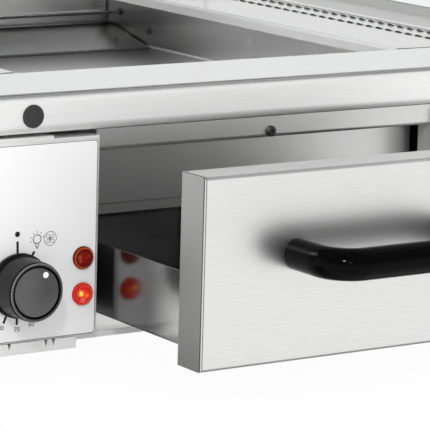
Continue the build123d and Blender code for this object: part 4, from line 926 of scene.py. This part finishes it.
# %% Light and fan signs
BULB_X, BULB_Z = -44.4, 64.8
sign_parts = [ink_disc((BULB_X, BULB_Z), 3.1, grey_ink_and_edge_shade, hole=2.5)]
for shift, height in ((-0.9, -3.3), (0.9, -3.3)):
    shoulder, neck = (BULB_X + shift * 1.5, BULB_Z - 2.4), (BULB_X + shift, BULB_Z - 4.3)
    sign_parts.append(ink_strip(shoulder, neck, 0.5, grey_ink_and_edge_shade))
for drop, half in ((4.5, 1.2), (5.2, 1.0), (5.9, 0.7)):
    left_end, right_end = (BULB_X - half, BULB_Z - drop), (BULB_X + half, BULB_Z - drop)
    sign_parts.append(ink_strip(left_end, right_end, 0.45, grey_ink_and_edge_shade))
for degrees in range(-110, 111, 37):
    angle = math.radians(degrees)
    inner, outer = 4.0, 5.2
    sign_parts.append(ink_strip(
        (BULB_X + inner * math.sin(angle), BULB_Z + inner * math.cos(angle)),
        (BULB_X + outer * math.sin(angle), BULB_Z + outer * math.cos(angle)), 0.4, grey_ink_and_edge_shade,
    ))
FAN_X, FAN_Z = -35.1, 64.4
sign_parts.append(ink_disc((FAN_X, FAN_Z), 4.6, grey_ink_and_edge_shade, hole=4.2))
sign_parts.append(ink_disc((FAN_X, FAN_Z), 0.8, grey_ink_and_edge_shade))
for blade in range(4):
    angle = math.radians(45 + 90 * blade)
    centre = (FAN_X + 2.2 * math.sin(angle), FAN_Z + 2.2 * math.cos(angle))
    sign_parts.append(ink_disc(centre, 1.35, grey_ink_and_edge_shade, hole=1.0, sides=24))
dial_signs = joined("dial_signs", sign_parts, "root")
print("sign pieces:", len(sign_parts), "faces:", len(dial_signs.data.polygons))

# %% [markdown]
# The overlay's edge shows as one fine grey line with rounded corners, because the sheet ends there. A
# rounded frame, just under half a millimetre wide, stands for that edge: it is painted shade along the step
# of the sheet. It is made from a plane whose corners are bevelled and whose middle is inset and removed.

# %% Overlay edge
foil_low, foil_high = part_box("panel_foil")
pick_none()
bpy.ops.mesh.primitive_plane_add(
    size=1.0, rotation=(math.pi / 2, 0, 0),
    location=((foil_low.x + foil_high.x) / 2, OVERLAY_FACE, (foil_low.z + foil_high.z) / 2),
)
overlay_edge = start_piece("overlay_edge")
bpy.ops.transform.resize(value=(foil_high.x - foil_low.x, 1.0, foil_high.z - foil_low.z))
bpy.ops.mesh.bevel(offset=0.0025, segments=8, affect="VERTICES")
bpy.ops.mesh.inset(thickness=0.00045)
bpy.ops.mesh.delete(type="FACE")
bpy.ops.mesh.select_all(action="SELECT")
bpy.ops.mesh.extrude_region_move(TRANSFORM_OT_translate={"value": (0, -INK, 0)})
# The grey frame is painted shade along the overlay's edge.
close_piece(overlay_edge, grey_ink_and_edge_shade)
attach(overlay_edge, "root")
print("overlay edge:", len(overlay_edge.data.polygons), "faces")

# %% [markdown]
# ## Seams of the drawer's front
#
# The drawer's top flange and its side flanges were cut apart before they were folded, so a thin gap runs
# back from each upper corner. A dark strip that lies on the top flange stands for it. It is made like the
# ink, once for each end.

# %% Drawer seams
SEAM_WIDTH, SEAM_INSET, SEAM_THICKNESS = 0.0009, 0.0013, 0.00005


def drawer_seam(side):
    """A dark gap along the top of one end of the drawer's front."""
    middle = Vector((side * (drawer_high.x - SEAM_INSET), (drawer_low.y + drawer_high.y) / 2, drawer_high.z))
    pick_none()
    bpy.ops.mesh.primitive_plane_add(size=1.0, location=middle)
    seam = start_piece("drawer_seam")
    bpy.ops.transform.resize(value=(SEAM_WIDTH, drawer_high.y - drawer_low.y - 0.003, 1.0))
    bpy.ops.mesh.bevel(offset=SEAM_WIDTH * 0.3, segments=2, affect="VERTICES")
    bpy.ops.mesh.extrude_region_move(TRANSFORM_OT_translate={"value": (0, 0, SEAM_THICKNESS)})
    return close_piece(seam, printed_black)


drawer_seams = joined("drawer_seams", [drawer_seam(-1), drawer_seam(1)], "drawer")
print("seams:", len(drawer_seams.data.polygons), "faces")

# %% [markdown]
# ## The knob
#
# A knob is moulded around its axis, so it can be turned like a bowl: one circle is extruded again and
# again, and each new ring is moved along the axis and scaled. The real knob has a skirt, a straight grip, a
# rounded rim and two fine ridges around the sunken disc, and those ridges are what catch the light.

# %% A helper for turned pieces


def turned(name, centre, profile, finish, sides=96, smooth_angle=30.0):
    """A piece turned around the Y axis. profile lists (distance towards the operator, radius) in mm."""
    pick_none()
    start_depth, start_radius = profile[0]
    bpy.ops.mesh.primitive_circle_add(
        vertices=sides, radius=start_radius * MM, fill_type="NGON",
        location=centre + Vector((0, -start_depth * MM, 0)), rotation=(math.pi / 2, 0, 0),
    )
    piece = start_piece(name)
    for (depth, radius), (next_depth, next_radius) in zip(profile, profile[1:]):
        step = (depth - next_depth) * MM
        bpy.ops.mesh.extrude_region_move(TRANSFORM_OT_translate={"value": (0, step, 0)})
        ratio = next_radius / radius
        pivot = centre + Vector((0, -next_depth * MM, 0))
        bpy.ops.transform.resize(value=(ratio, 1.0, ratio), center_override=pivot)
    return close_piece(piece, finish, smooth_angle)


knob_profile = [
    (1.4, 19.9), (1.6, 20.3), (2.0, 20.5), (4.4, 20.5), (5.0, 20.3), (5.4, 19.8), (6.6, 19.3),
    (7.0, 19.0), (7.3, 18.9), (9.0, 18.9), (22.6, 18.9), (23.6, 18.85), (24.3, 18.65), (24.9, 18.3),
    (25.2, 17.95), (25.2, 17.7), (24.9, 17.55), (24.9, 17.4), (25.2, 17.25), (25.25, 17.1), (25.0, 16.85),
    (24.2, 16.6), (23.7, 16.2), (23.7, 15.2),
]
knob_turned = turned("knob_turned", KNOB_PLACE, knob_profile, knob_black)
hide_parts("knob_body")
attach(knob_turned, "knob")
print("knob rings:", len(knob_profile), "faces:", len(knob_turned.data.polygons))

# %% Knob dot
DOT_ANGLE = math.radians(30)
DOT_FROM_AXIS = 12.1 * MM
dot_place = KNOB_PLACE + DOT_FROM_AXIS * Vector((math.sin(DOT_ANGLE), 0, math.cos(DOT_ANGLE)))
dot_profile = [(24.6, 1.95), (24.88, 1.95), (24.95, 1.85), (24.98, 1.6)]
knob_dot = turned("knob_dot", dot_place, dot_profile, dot_white, sides=40)
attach(knob_dot, "knob")
print("knob dot at", [round(v, 4) for v in dot_place])

# %% [markdown]
# ## The pilot lamps
#
# Each lens is turned too. It has a flat bezel, a step and a shallow dome with a ring pressed into its
# front, which is why a real lamp shows circles within circles.

# %% Lamp lenses
lens_profile = [
    (0.4, 7.0), (0.6, 7.3), (1.7, 7.3), (2.0, 7.15), (2.1, 6.7), (2.1, 6.1), (2.3, 5.9), (3.0, 5.75),
    (3.3, 5.5), (3.35, 5.1), (3.2, 4.9), (3.2, 4.7), (3.4, 4.5), (3.6, 3.2), (3.7, 1.6),
]
for name, place, finish, slot in (
    ("lens_lower", LOWER_LAMP, lens_lit, "lens_lit"), ("lens_upper", UPPER_LAMP, lens_dark, "lens_dark"),
):
    lens = turned(name, place, lens_profile, finish, sides=64)
    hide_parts("lamp_" + name)
    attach(lens, "root")
    print(name, "faces:", len(lens.data.polygons))

# %% [markdown]
# ## Pressed louvres in the side plates
#
# The slots beside the well aren't plain cuts: the press lifts the outer lip of each one into a small hood
# whose mouth faces the well. The first hood of a row is made from a sphere that is flattened, then cut
# through along the slot and along the sheet. The rest are copies, one for each slot. Their mouths are in
# shade, so the finish turns darker where a face looks straight at the well.

# %% Hood finish
hood_steel, hood_tree, hood_shader = new_finish("hood_steel", metallic=1.0)
hood_mouth = ranged(hood_tree, size_of(hood_tree, facing_axis(hood_tree, "X")), 1.0, 0.0, 0.93, 0.97)
hood_lines = brushed_lines(hood_tree, "Y")
hood_light = sums(hood_tree, "MULTIPLY", hood_mouth, ranged(hood_tree, hood_lines, 0.9, 1.0))
coloured(hood_tree, hood_shader, hood_light, (0.10, 0.10, 0.10), (0.8, 0.8, 0.795))
glossed(hood_tree, hood_shader, hood_lines, 0.2, 0.28)
print("hood finish nodes:", len(hood_tree.nodes))

# %% One hood and its copies
plate_low, plate_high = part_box("slotted_plates")
WELL_EDGE = 0.1525
SLOT_ROWS = (0.062, 0.082)
SLOT_PITCH = 0.012
SLOT_HALF_WIDTH = 0.0017
TROUGH = plate_high.z - 0.0012
plate_length = plate_high.y - plate_low.y
slot_count = int((plate_length - 2 * SLOT_PITCH) / SLOT_PITCH)
first_slot = (plate_low.y + plate_high.y) / 2 - SLOT_PITCH * (slot_count - 1) / 2


def slot_hood(side, x):
    """One hood over the first slot of a row, its mouth at the slot's edge nearest the well."""
    pick_none()
    place = Vector((side * (x - SLOT_HALF_WIDTH), first_slot, TROUGH - 0.0004))
    bpy.ops.mesh.primitive_uv_sphere_add(segments=18, ring_count=10, radius=1.0, location=place)
    hood = start_piece("slot_hood")
    bpy.ops.transform.resize(value=(0.0044, 0.0045, 0.0016))
    cut = {"use_fill": True, "clear_inner": True, "clear_outer": False}
    bpy.ops.mesh.bisect(plane_co=(place.x, place.y, place.z), plane_no=(side, 0, 0), **cut)
    bpy.ops.mesh.select_all(action="SELECT")
    bpy.ops.mesh.bisect(plane_co=(place.x, place.y, TROUGH + 0.00003), plane_no=(0, 0, 1), **cut)
    return close_piece(hood, hood_steel)


hoods = []
for side in (-1, 1):
    for row in SLOT_ROWS:
        first_hood = slot_hood(side, WELL_EDGE + row)
        row_hoods = [first_hood]
        for step in range(1, slot_count):
            copy = first_hood.copy()
            copy.data = first_hood.data.copy()
            copy.data.transform(Matrix.Translation((0, step * SLOT_PITCH, 0)))
            scene.collection.objects.link(copy)
            row_hoods.append(copy)
        hoods.append(joined("slot_hoods", row_hoods, "root"))
print("rows of hoods:", len(hoods), "hoods in a row:", slot_count, "faces:", len(hoods[0].data.polygons))

# %% Print the packed box
print("packed box", packed_box)
